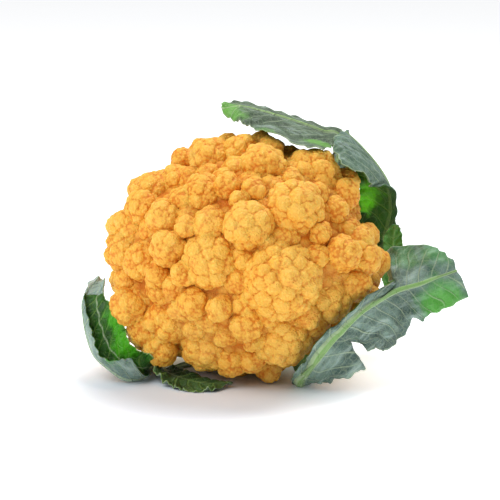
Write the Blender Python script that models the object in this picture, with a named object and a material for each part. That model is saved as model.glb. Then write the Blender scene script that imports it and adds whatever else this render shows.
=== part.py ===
"""An orange cauliflower, cut from the field with its wrapper leaves, lying tilted back on its stem.

The curd is one solid: a core covered in florets, each a cluster of smaller domes. The stem is a cut
stump that spreads into fluted branches under the curd. Each leaf is one solid, blade and midrib.

Units are metres, +Z is up, the floor is Z = 0 and the curd faces -Y. Places on the object's face are
given in millimetres as it is seen from the front: across to the right, up, and toward the viewer,
from the curd's centre.
"""

import math
from dataclasses import dataclass

import bmesh
import bpy
import numpy as np

MM = 0.001

# The head and how it lies
CURD_HALF_WIDTH = 88.0
CURD_HALF_HEIGHT = 76.0
CURD_CROWN = 65.0
CURD_REAR = 52.0
CENTRE_HEIGHT = 66.8
CENTRE_ACROSS = -17.47
CENTRE_BACK = -5.59
HEAD_AXIS = (-0.28, -0.80, 0.53)
VIEW_TILT = math.radians(12.0)

# The curd's relief
CORE_DEPTH = 9.5
UNDERSIDE_DEPTH = 34.0
UNDERSIDE_ANGLE = math.radians(125.0)
FLORET_LIMIT = math.radians(113.0)
FILL_PLACES = 260
FILL_RADIUS = 10.5
FILL_SPACING = 0.74
GAP_PLACES = 1100
GAP_RADIUS = 9.5
GAP_SINK = 5.5
GAP_SPACING = 0.60
FACE_SCALE = 1.1
DOMES_PER_FLORET = 24
CURD_FREQUENCY = 23
SEED = 11

# The stem
STEM_RADIUS = 19.5
STEM_LENGTH = 97.5
STEM_FLUTES = 9
STEM_SIDES = 54
STEM_GAP = 0.4

# The leaves
BLADE_THICKNESS = 1.2
PETIOLE_TOP = -86.0
LEAF_STATIONS = 19
HALF_STEPS = 5


@dataclass(frozen=True)
class Floret:
    """One floret of the face: its dome's middle as seen from the front, its radius, how far it stands out."""

    across: float
    up: float
    radius: float
    proud: float = 0.0


FACE_FLORETS = (
    Floret(-57, 27, 11.5), Floret(-75, 19, 13), Floret(-71, 4, 13), Floret(-58, 43, 11), Floret(-42, 46, 11),
    Floret(-19, 56, 12.5, 1), Floret(-3, 66, 12), Floret(16, 67, 8), Floret(10, 51, 13, 2),
    Floret(-26, 67, 10.5), Floret(-23, 35, 12), Floret(5, 37, 7.5), Floret(-3, 31, 6.5), Floret(2, 17, 14, 4),
    Floret(-45, 22, 10.5, 1), Floret(-33, 17, 7), Floret(-19, 18, 10), Floret(-18, -2, 16.5, 1),
    Floret(-42, 5, 11, 1), Floret(-57, -2, 11.5), Floret(-34, -9, 7.5), Floret(-35, 32, 8),
    Floret(28, 27, 16, 4), Floret(40, 48, 17.5, 1), Floret(60, 38, 10), Floret(50, 26, 8.5, -3),
    Floret(60, 17, 10, -4), Floret(74, 11, 8.5, -1), Floret(54, 2, 10.5, 1), Floret(69, 0, 11.5),
    Floret(20, -13, 21.5, 7), Floret(42, 13, 7, -3), Floret(63, -16, 10, -1), Floret(47, -24, 14, -3),
    Floret(35, -33, 7.5, -3), Floret(25, -53, 17.5), Floret(1, -37, 9, -1), Floret(-14, -28, 8),
    Floret(-7, -58, 10), Floret(-21, -50, 14.5, 1), Floret(5, -67, 8.5, -2), Floret(-43, -36, 14),
    Floret(-57, -26, 13.5), Floret(-72, -15, 9), Floret(-49, -51, 10, -1), Floret(-72, -33, 9, -4),
    Floret(-63, -45, 8.5, -3), Floret(-20, -64, 9, -1),
)


@dataclass(frozen=True)
class LeafPlan:
    """A leaf's route.

    root_angle is where it grows round the stem, in degrees from the right, upward. Each station holds the
    midrib, the left edge and the right edge, each as (across, up, toward) in millimetres.
    """

    name: str
    root_angle: float
    stations: tuple
    rib_radius: float
    root_half_width: float
    cup: float
    ripple: float
    ripples: float
    clearance: float = 2.6


LEAVES = (
    LeafPlan(
        "leaf_right", -60.0,
        (
            ((31.2, -68.6, 26), (26, -65.9, 30), (38.1, -71.5, 24)),
            ((34.2, -62.4, 41), (30, -58, 49.5), (43.5, -70.4, 30)),
            ((39.4, -55.2, 50), (34.9, -52.2, 53), (51.9, -68.6, 32)),
            ((47, -45.6, 54), (41.9, -41.5, 58), (68.1, -65.6, 34)),
            ((54.7, -37.8, 54.5), (51.3, -34.4, 57.5), (65.1, -49.1, 38)),
            ((62.6, -30.7, 52.5), (60.2, -26.5, 56), (74.3, -53.3, 34)),
            ((72.5, -24.9, 44), (71.6, -17, 49), (82.6, -53.6, 28)),
            ((85.4, -19.1, 28), (80.6, -7.3, 24), (93.4, -43.8, 20)),
            ((100.2, -15.4, 14), (85, 5.2, -12), (103.3, -35.5, 12)),
            ((111.5, -11.5, 4), (106.3, 8.1, -2), (116.7, -31.2, 4)),
            ((122.7, -8.2, -3), (118.9, -2.9, -6), (129.1, -25, -3)),
        ),
        rib_radius=5.6, root_half_width=9, cup=2.5, ripple=1.8, ripples=5.0, clearance=3.2,
    ),
    LeafPlan(
        "leaf_top", 84.0,
        (
            ((50, 44, -62), (38, 44, -54), (62, 46, -69)),
            ((56, 71, -46), (49.5, 64.4, -12), (60, 75, -58)),
            ((46, 74.5, -34), (41.3, 61.5, 24), (48.5, 77.5, -50)),
            ((29.6, 80.0, -26), (26.7, 63.1, 22), (30.8, 83.2, -44)),
            ((10, 85.4, -18), (9.7, 68.7, 22), (10.1, 88.2, -34)),
            ((-3, 87.9, -12), (-1.1, 74.8, 12), (-3.6, 90.8, -24)),
            ((-13.5, 85.9, -8), (-12.2, 82.7, -5), (-14.1, 88.6, -13)),
        ),
        rib_radius=4.2, root_half_width=8, cup=1.5, ripple=1.4, ripples=5.0,
    ),
    LeafPlan(
        "leaf_upper_right", 30.0,
        (
            ((84.5, 12.5, -46), (86.7, 12.5, -36), (68, 13, -55)),
            ((87.5, 26.9, -38), (88.2, 26.1, -28), (65, 26, -50)),
            ((86.5, 37.5, -32), (86.3, 37.2, -20), (65, 38.4, -42)),
            ((83.1, 46.2, -26), (74.4, 41.1, -4), (64, 49.5, -36)),
            ((76.1, 56, -20), (58.5, 47, 32), (65, 58.2, -32)),
            ((67, 65.8, -15), (47.6, 57.2, 26), (62, 66.5, -26)),
            ((58.6, 73.2, -11), (51, 67.8, -3), (58.2, 74, -15)),
        ),
        rib_radius=3.4, root_half_width=8, cup=2.0, ripple=1.2, ripples=4.0,
    ),
    LeafPlan(
        "leaf_small", -14.0,
        (
            ((88, -14, -40), (93, -14, -37), (82, -14, -42)),
            ((88, 0, -31), (93.5, 1, -27), (82, 1, -32)),
            ((88, 11, -25), (93, 12.5, -22), (82, 12, -26)),
            ((89, 19, -22), (91, 18.5, -20), (86.5, 19, -23)),
        ),
        rib_radius=1.8, root_half_width=4.5, cup=1.0, ripple=0.5, ripples=3.0,
    ),
    LeafPlan(
        "leaf_left", -156.0,
        (
            ((-55.5, -65.9, 4), (-51.3, -61.7, 6), (-55.8, -65.9, 8)),
            ((-61, -69.2, 13), (-52.6, -56.2, 24), (-58.5, -64.1, 22)),
            ((-69.1, -69, 17), (-58.9, -54.9, 24), (-64.2, -56.9, 30)),
            ((-78.3, -62.8, 16), (-65.3, -50.5, 22), (-74.5, -56.4, 28)),
            ((-86, -56.2, 12), (-69.4, -43.8, 20), (-81.6, -53.2, 24)),
            ((-90.4, -46.6, 8), (-72.3, -35.3, 19), (-84.5, -45.6, 17)),
            ((-92.9, -35.2, 6), (-74.7, -26.7, 18), (-87.1, -36.1, 13)),
            ((-93.1, -24.3, 3), (-76.6, -19.5, 8), (-88.6, -23, 8)),
            ((-84.9, -11.1, -3), (-79.8, -12.8, -5), (-88.2, -14.5, 0)),
        ),
        rib_radius=2.8, root_half_width=7, cup=2.0, ripple=1.6, ripples=5.0,
    ),
    LeafPlan(
        "leaf_bottom", -108.0,
        (
            ((-46.3, -64.5, -6), (-50.9, -64.6, -4), (-39.9, -64.5, -8)),
            ((-45, -67, 6), (-51.6, -67.2, 6), (-38, -63.5, 4)),
            ((-39, -68.5, 15), (-52, -70.5, 20), (-32, -64.5, 8)),
            ((-30, -70.6, 22), (-43, -74, 32), (-23, -66.5, 13)),
            ((-20, -71.6, 27), (-32, -75.4, 38), (-14.5, -69, 22)),
            ((-9.5, -70.5, 29), (-18, -75, 38), (-6.5, -69, 27)),
        ),
        rib_radius=2.2, root_half_width=6.5, cup=0.8, ripple=1.2, ripples=5.0, clearance=0.2,
    ),
)


def unit(vector):
    """The vector, or each row of an array of vectors, at length 1."""
    vector = np.asarray(vector, float)
    return vector / np.linalg.norm(vector, axis=-1, keepdims=True)


AXIS = unit(HEAD_AXIS)
SIDE = unit(np.cross((0.0, 0.0, 1.0), AXIS))
RISE = np.cross(AXIS, SIDE)
HEAD = np.array((SIDE, RISE, AXIS))
CENTRE = np.array((CENTRE_ACROSS, CENTRE_BACK, CENTRE_HEIGHT))
VIEW_UP = np.array((0.0, math.sin(VIEW_TILT), math.cos(VIEW_TILT)))
VIEW_NEAR = np.array((0.0, -math.cos(VIEW_TILT), math.sin(VIEW_TILT)))
VIEW = np.array(((1.0, 0.0, 0.0), VIEW_UP, VIEW_NEAR))
# Hollows of the head's outline as seen from the front: bearing and width in degrees, depth as a share
HOLLOWS = (
    (20.0, 9.0, 0.12), (66.0, 8.0, 0.06), (132.0, 8.0, 0.08), (187.5, 6.0, 0.07), (212.0, 12.0, 0.05),
    (243.0, 13.0, 0.05), (326.0, 18.0, 0.03),
)


def from_view(points):
    """Points given as (across, up, toward), turned into places from the curd's centre."""
    return np.asarray(points, float) @ VIEW


def envelope_value(points, shrink=0.0):
    """1 on the smooth surface that the floret tops reach, less inside it, for places from the centre."""
    points = np.atleast_2d(points)
    local = points @ HEAD.T
    rear = np.where(local[:, 2] < 0, CURD_REAR, CURD_CROWN)
    sizes = np.stack((np.full(len(local), CURD_HALF_WIDTH), np.full(len(local), CURD_HALF_HEIGHT), rear), 1)
    across, up, toward = (points / np.linalg.norm(points, axis=1, keepdims=True) @ VIEW.T).T
    bearing = np.degrees(np.arctan2(up, across))
    lean = np.degrees(np.arcsin(np.clip(toward, -1, 1)))
    for at, width, depth in HOLLOWS:
        off = ((bearing - at + 180) % 360 - 180) / width
        sizes *= (1 - depth * np.exp(-(off**2) - (lean / 40) ** 2))[:, None]
    return np.sqrt((local**2 / (sizes - shrink) ** 2).sum(1))


def floret_middle(floret):
    """Where a face floret's dome has its middle: on the view line through it, a radius under the envelope."""
    depth = floret.radius * FACE_SCALE - floret.proud
    flat = np.array((floret.across, floret.up))
    reach = 1.0
    while envelope_value(from_view((*(flat * reach), 0.0)), depth)[0] > 0.97:
        reach -= 0.01
    near, far = 0.0, CURD_HALF_WIDTH
    for _ in range(40):
        middle = (near + far) / 2
        inside = envelope_value(from_view((*(flat * reach), middle)), depth)[0] < 1.0
        near, far = (middle, far) if inside else (near, middle)
    return from_view((*(flat * reach), near))


def spread_directions(count):
    """Directions spread evenly over a sphere, from its +Z pole down."""
    steps = np.arange(count) + 0.5
    z = 1 - 2 * steps / count
    turn = steps * math.pi * (3 - math.sqrt(5))
    ring = np.sqrt(1 - z * z)
    return np.stack((ring * np.cos(turn), ring * np.sin(turn), z), 1)


def florets_of_head(random):
    """Every floret's middle and radius: the face as seen, then rules for the sides, the back and the gaps."""
    middles = [floret_middle(floret) for floret in FACE_FLORETS]
    radii = [floret.radius * FACE_SCALE for floret in FACE_FLORETS]
    for direction in spread_directions(FILL_PLACES):
        if math.acos(direction[2]) > FLORET_LIMIT:
            continue
        radius = FILL_RADIUS * random.uniform(0.8, 1.15)
        outward = unit(direction + random.normal(0, 0.05, 3)) @ HEAD
        middle = outward / envelope_value(outward, radius)[0]
        gaps = np.linalg.norm(np.array(middles) - middle, axis=1)
        if (gaps > FILL_SPACING * (np.array(radii) + radius)).all():
            middles.append(middle)
            radii.append(radius)
    for direction in spread_directions(GAP_PLACES):
        if math.acos(direction[2]) > FLORET_LIMIT:
            continue
        radius = GAP_RADIUS * random.uniform(0.8, 1.15)
        outward = direction @ HEAD
        middle = outward / envelope_value(outward, radius + GAP_SINK)[0]
        gaps = np.linalg.norm(np.array(middles) - middle, axis=1)
        if (gaps > GAP_SPACING * (np.array(radii) + radius)).all():
            middles.append(middle)
            radii.append(radius)
    return np.array(middles), np.array(radii)


def domes_of_floret(middle, radius, random):
    """A floret's own balls: a main one, and the small domes that crowd its outer side."""
    outward = unit(middle)
    centres, sizes = [middle], [radius * 0.82]
    for direction in spread_directions(DOMES_PER_FLORET):
        direction = unit(direction + random.normal(0, 0.10, 3))
        if direction @ outward < -0.1:
            continue
        size = radius * random.uniform(0.30, 0.42)
        centres.append(middle + direction * (radius * 1.04 - size))
        sizes.append(size)
    return centres, sizes


def exit_distance(directions, centres, radii):
    """How far along each direction from the origin the last of the balls is left."""
    along = directions @ centres.T
    inside = along**2 - ((centres**2).sum(1) - radii**2)
    leaves = np.where((inside > 0) & (along > 0), along + np.sqrt(np.maximum(inside, 0)), 0)
    return leaves.max(1)


def curd_reach(directions):
    """The curd's surface: its distance from the centre along each direction."""
    random = np.random.default_rng(SEED)
    centres, sizes = [], []
    for middle, radius in zip(*florets_of_head(random)):
        more_centres, more_sizes = domes_of_floret(middle, radius, random)
        centres += more_centres
        sizes += more_sizes
    reach = exit_distance(directions, np.array(centres), np.array(sizes))
    core = 1 / envelope_value(directions, CORE_DEPTH)
    reach = np.maximum(reach, core)
    down_axis = -(directions @ AXIS)
    under = down_axis > -math.cos(UNDERSIDE_ANGLE)
    reach[under] = np.minimum(core[under], UNDERSIDE_DEPTH / down_axis[under])
    return reach


def material(name, colour, roughness):
    """A plain finish for one kind of piece."""
    made = bpy.data.materials.new(name)
    made.use_nodes = True
    shader = made.node_tree.nodes["Principled BSDF"]
    shader.inputs["Base Color"].default_value = (*colour, 1)
    shader.inputs["Roughness"].default_value = roughness
    shader.inputs["Metallic"].default_value = 0.0
    return made


def add_object(name, points_mm, faces, finish):
    """A mesh object from points in millimetres from the curd's centre, flat where it meets the floor."""
    mesh = bpy.data.meshes.new(name)
    placed = np.asarray(points_mm) + CENTRE
    placed[:, 2] = np.maximum(placed[:, 2], 0)
    mesh.from_pydata((placed * MM).tolist(), [], faces)
    shape = bmesh.new()
    shape.from_mesh(mesh)
    bmesh.ops.recalc_face_normals(shape, faces=shape.faces)
    if shape.calc_volume(signed=True) < 0:
        bmesh.ops.reverse_faces(shape, faces=shape.faces)
    shape.to_mesh(mesh)
    shape.free()
    mesh.shade_smooth()
    mesh.materials.append(finish)
    made = bpy.data.objects.new(name, mesh)
    bpy.context.scene.collection.objects.link(made)
    return made


def build_curd(finish):
    """The curd: an evenly split sphere whose points are drawn out to the florets' surface."""
    shape = bmesh.new()
    bmesh.ops.create_icosphere(shape, subdivisions=1, radius=1.0)
    bmesh.ops.subdivide_edges(shape, edges=shape.edges[:], cuts=CURD_FREQUENCY - 1, use_grid_fill=True)
    bmesh.ops.triangulate(shape, faces=shape.faces[:])
    shape.verts.index_update()
    directions = unit([vertex.co[:] for vertex in shape.verts])
    faces = [[vertex.index for vertex in face.verts] for face in shape.faces]
    shape.free()
    return add_object("curd", directions * curd_reach(directions)[:, None], faces, finish)


def build_stem(finish):
    """The stem: a stump with a chamfered cut, which opens into fluted branches under the curd."""
    top = -UNDERSIDE_DEPTH - STEM_GAP
    profile = (
        (-STEM_LENGTH, STEM_RADIUS - 1.5, 0.0),
        (-STEM_LENGTH + 1.5, STEM_RADIUS, 0.01),
        (-74.0, STEM_RADIUS - 0.5, 0.02),
        (-62.0, 20.5, 0.05),
        (-54.0, 24.0, 0.09),
        (-47.0, 30.0, 0.13),
        (-41.0, 39.0, 0.18),
        (top - 3.0, 45.0, 0.16),
        (top, 45.0, 0.13),
    )
    turns = np.arange(STEM_SIDES) * 2 * math.pi / STEM_SIDES
    points = [-STEM_LENGTH * AXIS]
    for height, radius, flute in profile:
        rounded = np.abs(np.cos(turns * STEM_FLUTES / 2)) ** 0.7 - 0.5
        ring = radius * (1 + flute * rounded)
        points += list(
            height * AXIS + ring[:, None] * (np.cos(turns)[:, None] * SIDE + np.sin(turns)[:, None] * RISE)
        )
    points.append(top * AXIS)
    faces = []
    last = len(points) - 1
    for i in range(STEM_SIDES):
        j = (i + 1) % STEM_SIDES
        faces.append((0, 1 + j, 1 + i))
        for row in range(len(profile) - 1):
            low, high = 1 + row * STEM_SIDES, 1 + (row + 1) * STEM_SIDES
            faces.append((low + i, low + j, high + j, high + i))
        faces.append((last, last - STEM_SIDES + i, last - STEM_SIDES + j))
    return add_object("stem", points, faces, finish)


def smooth_curve(points, steps):
    """A smooth curve through the points, read at evenly spread places."""
    points = np.asarray(points, float)
    padded = np.vstack((2 * points[0] - points[1], points, 2 * points[-1] - points[-2]))
    places = np.linspace(0, len(points) - 1, steps)
    spans = np.minimum(places.astype(int), len(points) - 2)
    t = (places - spans)[:, None]
    a, b, c, d = (padded[spans + k] for k in range(4))
    return 0.5 * (2 * b + (c - a) * t + (2 * a - 5 * b + 4 * c - d) * t**2 + (3 * b - a - 3 * c + d) * t**3)


def root_stations(plan):
    """The hidden stations of a leaf: from the stem's side, under the curd's rim, towards its first open one."""
    angle = math.radians(plan.root_angle)
    first = from_view(plan.stations[0][0])
    start = np.array((math.cos(angle), math.sin(angle)))
    goal = HEAD @ first
    rim = unit(goal[:2])
    low = min(-39.0, goal[2] - 10)
    far = min(77.0, np.linalg.norm(goal[:2]) - 5)
    route = (
        (start * (STEM_RADIUS + STEM_GAP + BLADE_THICKNESS / 2), PETIOLE_TOP, 1.0),
        (start * (STEM_RADIUS + 6), PETIOLE_TOP + 13, 1.0),
        (unit(start * 2 + rim) * (STEM_RADIUS + 6 + far) / 2, (PETIOLE_TOP + 13 + low) / 2 - 2, 0.95),
        (unit(start * 0.6 + rim) * far, low, 0.9),
    )
    rows = []
    for place, height, share in route:
        middle = place[0] * SIDE + place[1] * RISE + height * AXIS
        outward = unit(place[0] * SIDE + place[1] * RISE)
        sideways = np.cross(AXIS, outward) * plan.root_half_width * share
        rows.append((middle, middle - sideways, middle + sideways))
    return rows


def pushed_clear(points, clearance):
    """The points, with those inside the curd's envelope or under the floor moved out to the clearance."""
    value = envelope_value(points, -clearance)
    points = points * np.maximum(1.0, 1.0 / np.maximum(value, 0.2))[:, None]
    lowest = clearance * 0.5 - CENTRE_HEIGHT
    points[:, 2] = np.maximum(points[:, 2], lowest)
    return points


def leaf_surface(plan, stations, half_steps):
    """The leaf's middle surface as a grid: stations from root to tip, and places from one edge to the other.

    Also gives each place's distance from the midrib in millimetres and the rib's radius at each station.
    """
    rows = [tuple(np.asarray(p, float) for p in row) for row in root_stations(plan)]
    hidden = len(rows)
    rows += [tuple(from_view(p) for p in row) for row in plan.stations]
    middle, left, right = (smooth_curve([row[k] for row in rows], stations) for k in range(3))
    along = np.linspace(0, 1, stations)
    radius = plan.rib_radius * (1 - 0.8 * along**1.3)
    blade = np.clip((along * (len(rows) - 1) - hidden + 2) / 2, 0, 1)
    grid, spans = [], []
    for i in range(stations):
        line, distances = [], []
        for edge, sign in ((left[i], -1), (right[i], 1)):
            reach = edge - middle[i]
            half = max(np.linalg.norm(reach), radius[i] * 1.25 + 0.6)
            reach = unit(reach) * half
            near = np.array((0.5, 1.0)) * radius[i]
            far = radius[i] + (half - radius[i]) * (np.arange(1, half_steps - 1) / (half_steps - 2))
            places = np.concatenate((near, far))
            side = [middle[i] + reach * (s / half) for s in places]
            line = side[::-1] + [middle[i]] if sign < 0 else line + side
            distances = list(-places[::-1]) + [0.0] if sign < 0 else distances + list(places)
        grid.append(line)
        spans.append(distances)
    grid, spans = np.array(grid), np.array(spans)
    ends = np.abs(spans) / np.abs(spans).max(axis=1, keepdims=True)
    bend = plan.cup * 4 * ends * (1 - ends)
    wave = plan.ripple * ends**2 * np.sin(2 * math.pi * plan.ripples * along[:, None] + 1.5 * np.sign(spans))
    grid = grid + surface_normals(grid) * ((bend + wave) * blade[:, None])[..., None]
    return grid, spans, radius


def surface_normals(grid):
    """Unit normals of a leaf's grid of points, on the side that faces away from the curd at its root."""
    return unit(np.cross(np.gradient(grid, axis=1), np.gradient(grid, axis=0)))


def build_leaf(plan, finish):
    """A leaf: a thin arched blade and its thick midrib, in one closed skin."""
    grid, spans, radius = leaf_surface(plan, LEAF_STATIONS, HALF_STEPS)
    rows, columns = spans.shape
    rib = np.sqrt(np.maximum(radius[:, None] ** 2 - spans**2, 0)) * 1.25
    half = BLADE_THICKNESS / 2
    clearance = plan.clearance + half
    flat = pushed_clear(grid.reshape(-1, 3), clearance)
    grid = flat.reshape(grid.shape)
    normals = surface_normals(grid)
    inner = grid - normals * half
    outer = grid + normals * (half + rib)[..., None]
    points = np.concatenate((inner.reshape(-1, 3), outer.reshape(-1, 3)))
    back = rows * columns
    faces = []
    for i in range(rows - 1):
        for j in range(columns - 1):
            a, b = i * columns + j, i * columns + j + 1
            c, d = a + columns, b + columns
            faces += [(a, b, d), (a, d, c), (back + a, back + d, back + b), (back + a, back + c, back + d)]
    border = [j for j in range(columns)]
    border += [i * columns + columns - 1 for i in range(1, rows)]
    border += [(rows - 1) * columns + j for j in range(columns - 2, -1, -1)]
    border += [i * columns for i in range(rows - 2, 0, -1)]
    for a, b in zip(border, border[1:] + border[:1]):
        faces += [(a, back + a, back + b), (a, back + b, b)]
    return add_object(plan.name, points, faces, finish)


def main():
    """Clears the scene and builds the cauliflower."""
    for old in list(bpy.data.objects):
        bpy.data.objects.remove(old)
    build_curd(material("curd_orange", (0.93, 0.52, 0.10), 0.75))
    build_stem(material("stem_cream", (0.62, 0.66, 0.36), 0.55))
    leaf_green = material("leaf_green", (0.07, 0.20, 0.06), 0.5)
    for plan in LEAVES:
        build_leaf(plan, leaf_green)


main()
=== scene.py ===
"""The looks of an orange cauliflower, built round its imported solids.

The curd is grown floret by floret on the head's envelope: each floret is a cluster of lobes, and a rule adds
the knobs on them. The leaves follow their solids' surfaces at a finer step, with veins, blisters and torn
edges. Metres, +Z up, the floor at Z = 0, the curd facing -Y. Tables hold millimetres as the object is seen
from the front: across to the right, up, and toward the viewer, from the curd's centre.
"""

import logging
import math
from dataclasses import dataclass, field
from enum import Enum
from typing import Any, Callable

import bmesh
import bpy
import numpy as np
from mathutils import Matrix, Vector


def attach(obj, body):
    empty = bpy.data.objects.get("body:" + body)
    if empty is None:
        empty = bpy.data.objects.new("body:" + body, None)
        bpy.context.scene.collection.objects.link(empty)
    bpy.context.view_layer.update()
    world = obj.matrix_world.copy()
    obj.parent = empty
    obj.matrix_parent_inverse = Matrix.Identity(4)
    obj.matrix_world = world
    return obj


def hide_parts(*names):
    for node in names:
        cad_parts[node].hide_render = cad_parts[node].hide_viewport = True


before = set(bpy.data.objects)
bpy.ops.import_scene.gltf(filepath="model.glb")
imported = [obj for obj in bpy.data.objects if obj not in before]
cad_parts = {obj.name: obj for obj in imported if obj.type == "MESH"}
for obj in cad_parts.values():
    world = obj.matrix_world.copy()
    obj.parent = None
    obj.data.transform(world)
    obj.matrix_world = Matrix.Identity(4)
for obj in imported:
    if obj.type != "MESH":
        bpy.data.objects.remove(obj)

LOG = logging.getLogger("cauliflower")
BODY = "root"
MM = 0.001
Colour = tuple[float, float, float]
Shell = tuple[np.ndarray, np.ndarray, np.ndarray]
BLACK: Colour = (0.0, 0.0, 0.0)
WHITE: Colour = (1.0, 1.0, 1.0)

# How the head lies, as its solids do, in millimetres
CURD_HALF_WIDTH = 88.0
CURD_HALF_HEIGHT = 76.0
CURD_CROWN = 65.0
CURD_REAR = 52.0
CURD_MEAN_RADIUS = 75
CURD_CENTRE = np.array((-17.47, -5.59, 66.8))
HEAD_AXIS = (-0.28, -0.80, 0.53)
VIEW_TILT = math.radians(12.0)


def unit(vector: Any) -> np.ndarray:
    """The vector, or each row of an array of vectors, at length 1."""
    vector = np.asarray(vector, float)
    return vector / np.linalg.norm(vector, axis=-1, keepdims=True)


AXIS = unit(HEAD_AXIS)
SIDE = unit(np.cross((0.0, 0.0, 1.0), AXIS))
RISE = np.cross(AXIS, SIDE)
HEAD = np.array((SIDE, RISE, AXIS))
VIEW_UP = np.array((0.0, math.sin(VIEW_TILT), math.cos(VIEW_TILT)))
VIEW_NEAR = np.array((0.0, -math.cos(VIEW_TILT), math.sin(VIEW_TILT)))
VIEW = np.array(((1.0, 0.0, 0.0), VIEW_UP, VIEW_NEAR))
# Hollows of the head's outline as seen from the front: bearing and width in degrees, depth as a share. The
# last one is in the looks alone.
HOLLOWS = (
    (20.0, 9.0, 0.12), (66.0, 8.0, 0.06), (132.0, 8.0, 0.08), (187.5, 6.0, 0.07), (212.0, 12.0, 0.05),
    (243.0, 13.0, 0.05), (326.0, 18.0, 0.03), (6.0, 6.0, 0.035),
)
HOLLOW_LEAN = 40.0


def from_view(points: Any) -> np.ndarray:
    """Points given as (across, up, toward), turned into places from the curd's centre."""
    return np.asarray(points, float) @ VIEW


def envelope_value(points: np.ndarray, shrink: float = 0.0) -> np.ndarray:
    """How far out places lie on the smooth head.

    Args:
        points: Places from the curd's centre, in millimetres.
        shrink: How far inside the head's envelope the measured surface lies.

    Returns:
        1 on that surface, less inside it.
    """
    points = np.atleast_2d(points)
    local = points @ HEAD.T
    rear = np.where(local[:, 2] < 0, CURD_REAR, CURD_CROWN)
    sizes = np.stack((np.full(len(local), CURD_HALF_WIDTH), np.full(len(local), CURD_HALF_HEIGHT), rear), 1)
    across, up, toward = (points / np.linalg.norm(points, axis=1, keepdims=True) @ VIEW.T).T
    bearing = np.degrees(np.arctan2(up, across))
    lean = np.degrees(np.arcsin(np.clip(toward, -1, 1)))
    for at, width, depth in HOLLOWS:
        off = ((bearing - at + 180) % 360 - 180) / width
        sizes *= (1 - depth * np.exp(-(off**2) - (lean / HOLLOW_LEAN) ** 2))[:, None]
    return np.sqrt((local**2 / (sizes - shrink) ** 2).sum(1))


def operator(operation: str, swapped: bool = False) -> Callable[["Value", Any], "Value"]:
    """Makes a method that adds a Math node on self and the other number, or on the other and self."""

    def method(self: "Value", other: Any) -> "Value":
        """Adds the node."""
        return self.tree.math(operation, *((other, self) if swapped else (self, other)))

    return method


class Value:
    """A number that flows through a node tree. Python's operators on it add Math nodes."""

    __add__ = __radd__ = operator("ADD")
    __sub__ = operator("SUBTRACT")
    __rsub__ = operator("SUBTRACT", True)
    __mul__ = __rmul__ = operator("MULTIPLY")
    __truediv__ = operator("DIVIDE")
    __rtruediv__ = operator("DIVIDE", True)

    def __init__(self, tree: "Tree", socket: bpy.types.NodeSocket) -> None:
        """Wraps one output socket of a tree."""
        self.tree = tree
        self.socket = socket

    def __abs__(self) -> "Value":
        """self without its sign."""
        return self.tree.math("ABSOLUTE", self)


class Tree:
    """A node tree under construction, of a material or of geometry: one method adds any node."""

    def __init__(self, tree: bpy.types.NodeTree) -> None:
        """Takes over an empty tree."""
        self.tree = tree

    def node(
        self, kind: str, settings: dict[str, Any] | None = None, inputs: dict[Any, Any] | None = None
    ) -> bpy.types.Node:
        """Adds a node.

        Args:
            kind: The node's type in Blender.
            settings: Its options, set first.
            inputs: What its sockets hold, by name or index: a number, a colour or a link.

        Returns:
            The new node.
        """
        made = self.tree.nodes.new(kind)
        for key, value in (settings or {}).items():
            setattr(made, key, value)
        for key, value in (inputs or {}).items():
            self.feed(made.inputs[key], value)
        return made

    def feed(self, socket: bpy.types.NodeSocket, value: Any) -> None:
        """Links a value to a socket, or sets the socket to it."""
        source = value.socket if isinstance(value, Value) else value
        if isinstance(source, bpy.types.NodeSocket):
            self.tree.links.new(source, socket)
        elif isinstance(source, tuple) and socket.type == "RGBA" and len(source) == 3:
            socket.default_value = (*source, 1.0)
        else:
            socket.default_value = source

    def math(self, operation: str, *values: Any) -> Value:
        """A Math node on up to three numbers."""
        made = self.node("ShaderNodeMath", {"operation": operation}, dict(enumerate(values)))
        return Value(self, made.outputs[0])

    def least(self, one: Any, other: Any) -> Value:
        """The smaller of two numbers."""
        return self.math("MINIMUM", one, other)

    def most(self, one: Any, other: Any) -> Value:
        """The larger of two numbers."""
        return self.math("MAXIMUM", one, other)

    def step(self, value: Any, low: float, high: float, start: float = 0.0, end: float = 1.0) -> Value:
        """A smooth step from start to end as the value goes from low to high."""
        ends = {0: value, 1: low, 2: high, 3: start, 4: end}
        made = self.node("ShaderNodeMapRange", {"interpolation_type": "SMOOTHSTEP"}, ends)
        return Value(self, made.outputs[0])

    def distance(self, one: Any, other: Any) -> Value:
        """How far two places are apart."""
        made = self.node("ShaderNodeVectorMath", {"operation": "DISTANCE"}, {0: one, 1: other})
        return Value(self, made.outputs["Value"])

    def mix(self, share: Any, one: Any, other: Any) -> Value:
        """A colour between one and other, by share."""
        made = self.node("ShaderNodeMix", {"data_type": "RGBA"}, {0: share, 6: one, 7: other})
        return Value(self, made.outputs[2])

    def layered(self, base: Any, *layers: tuple[Any, Any]) -> Value:
        """The base colour with each layer, a share and a colour, laid over it in order."""
        for share, tint in layers:
            base = self.mix(share, base, tint)
        return base

    def noise(self, place: Any, scale: float, detail: float = 3.0, rough: float = 0.5) -> Value:
        """A cloudy number about 0.5."""
        inputs = {"Vector": place, "Scale": scale, "Detail": detail, "Roughness": rough}
        return Value(self, self.node("ShaderNodeTexNoise", None, inputs).outputs[0])

    def cells(self, place: Any, scale: float, feature: str = "F1") -> Value:
        """The distance pattern of scattered cells."""
        made = self.node("ShaderNodeTexVoronoi", {"feature": feature}, {"Vector": place, "Scale": scale})
        return Value(self, made.outputs[0])


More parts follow.
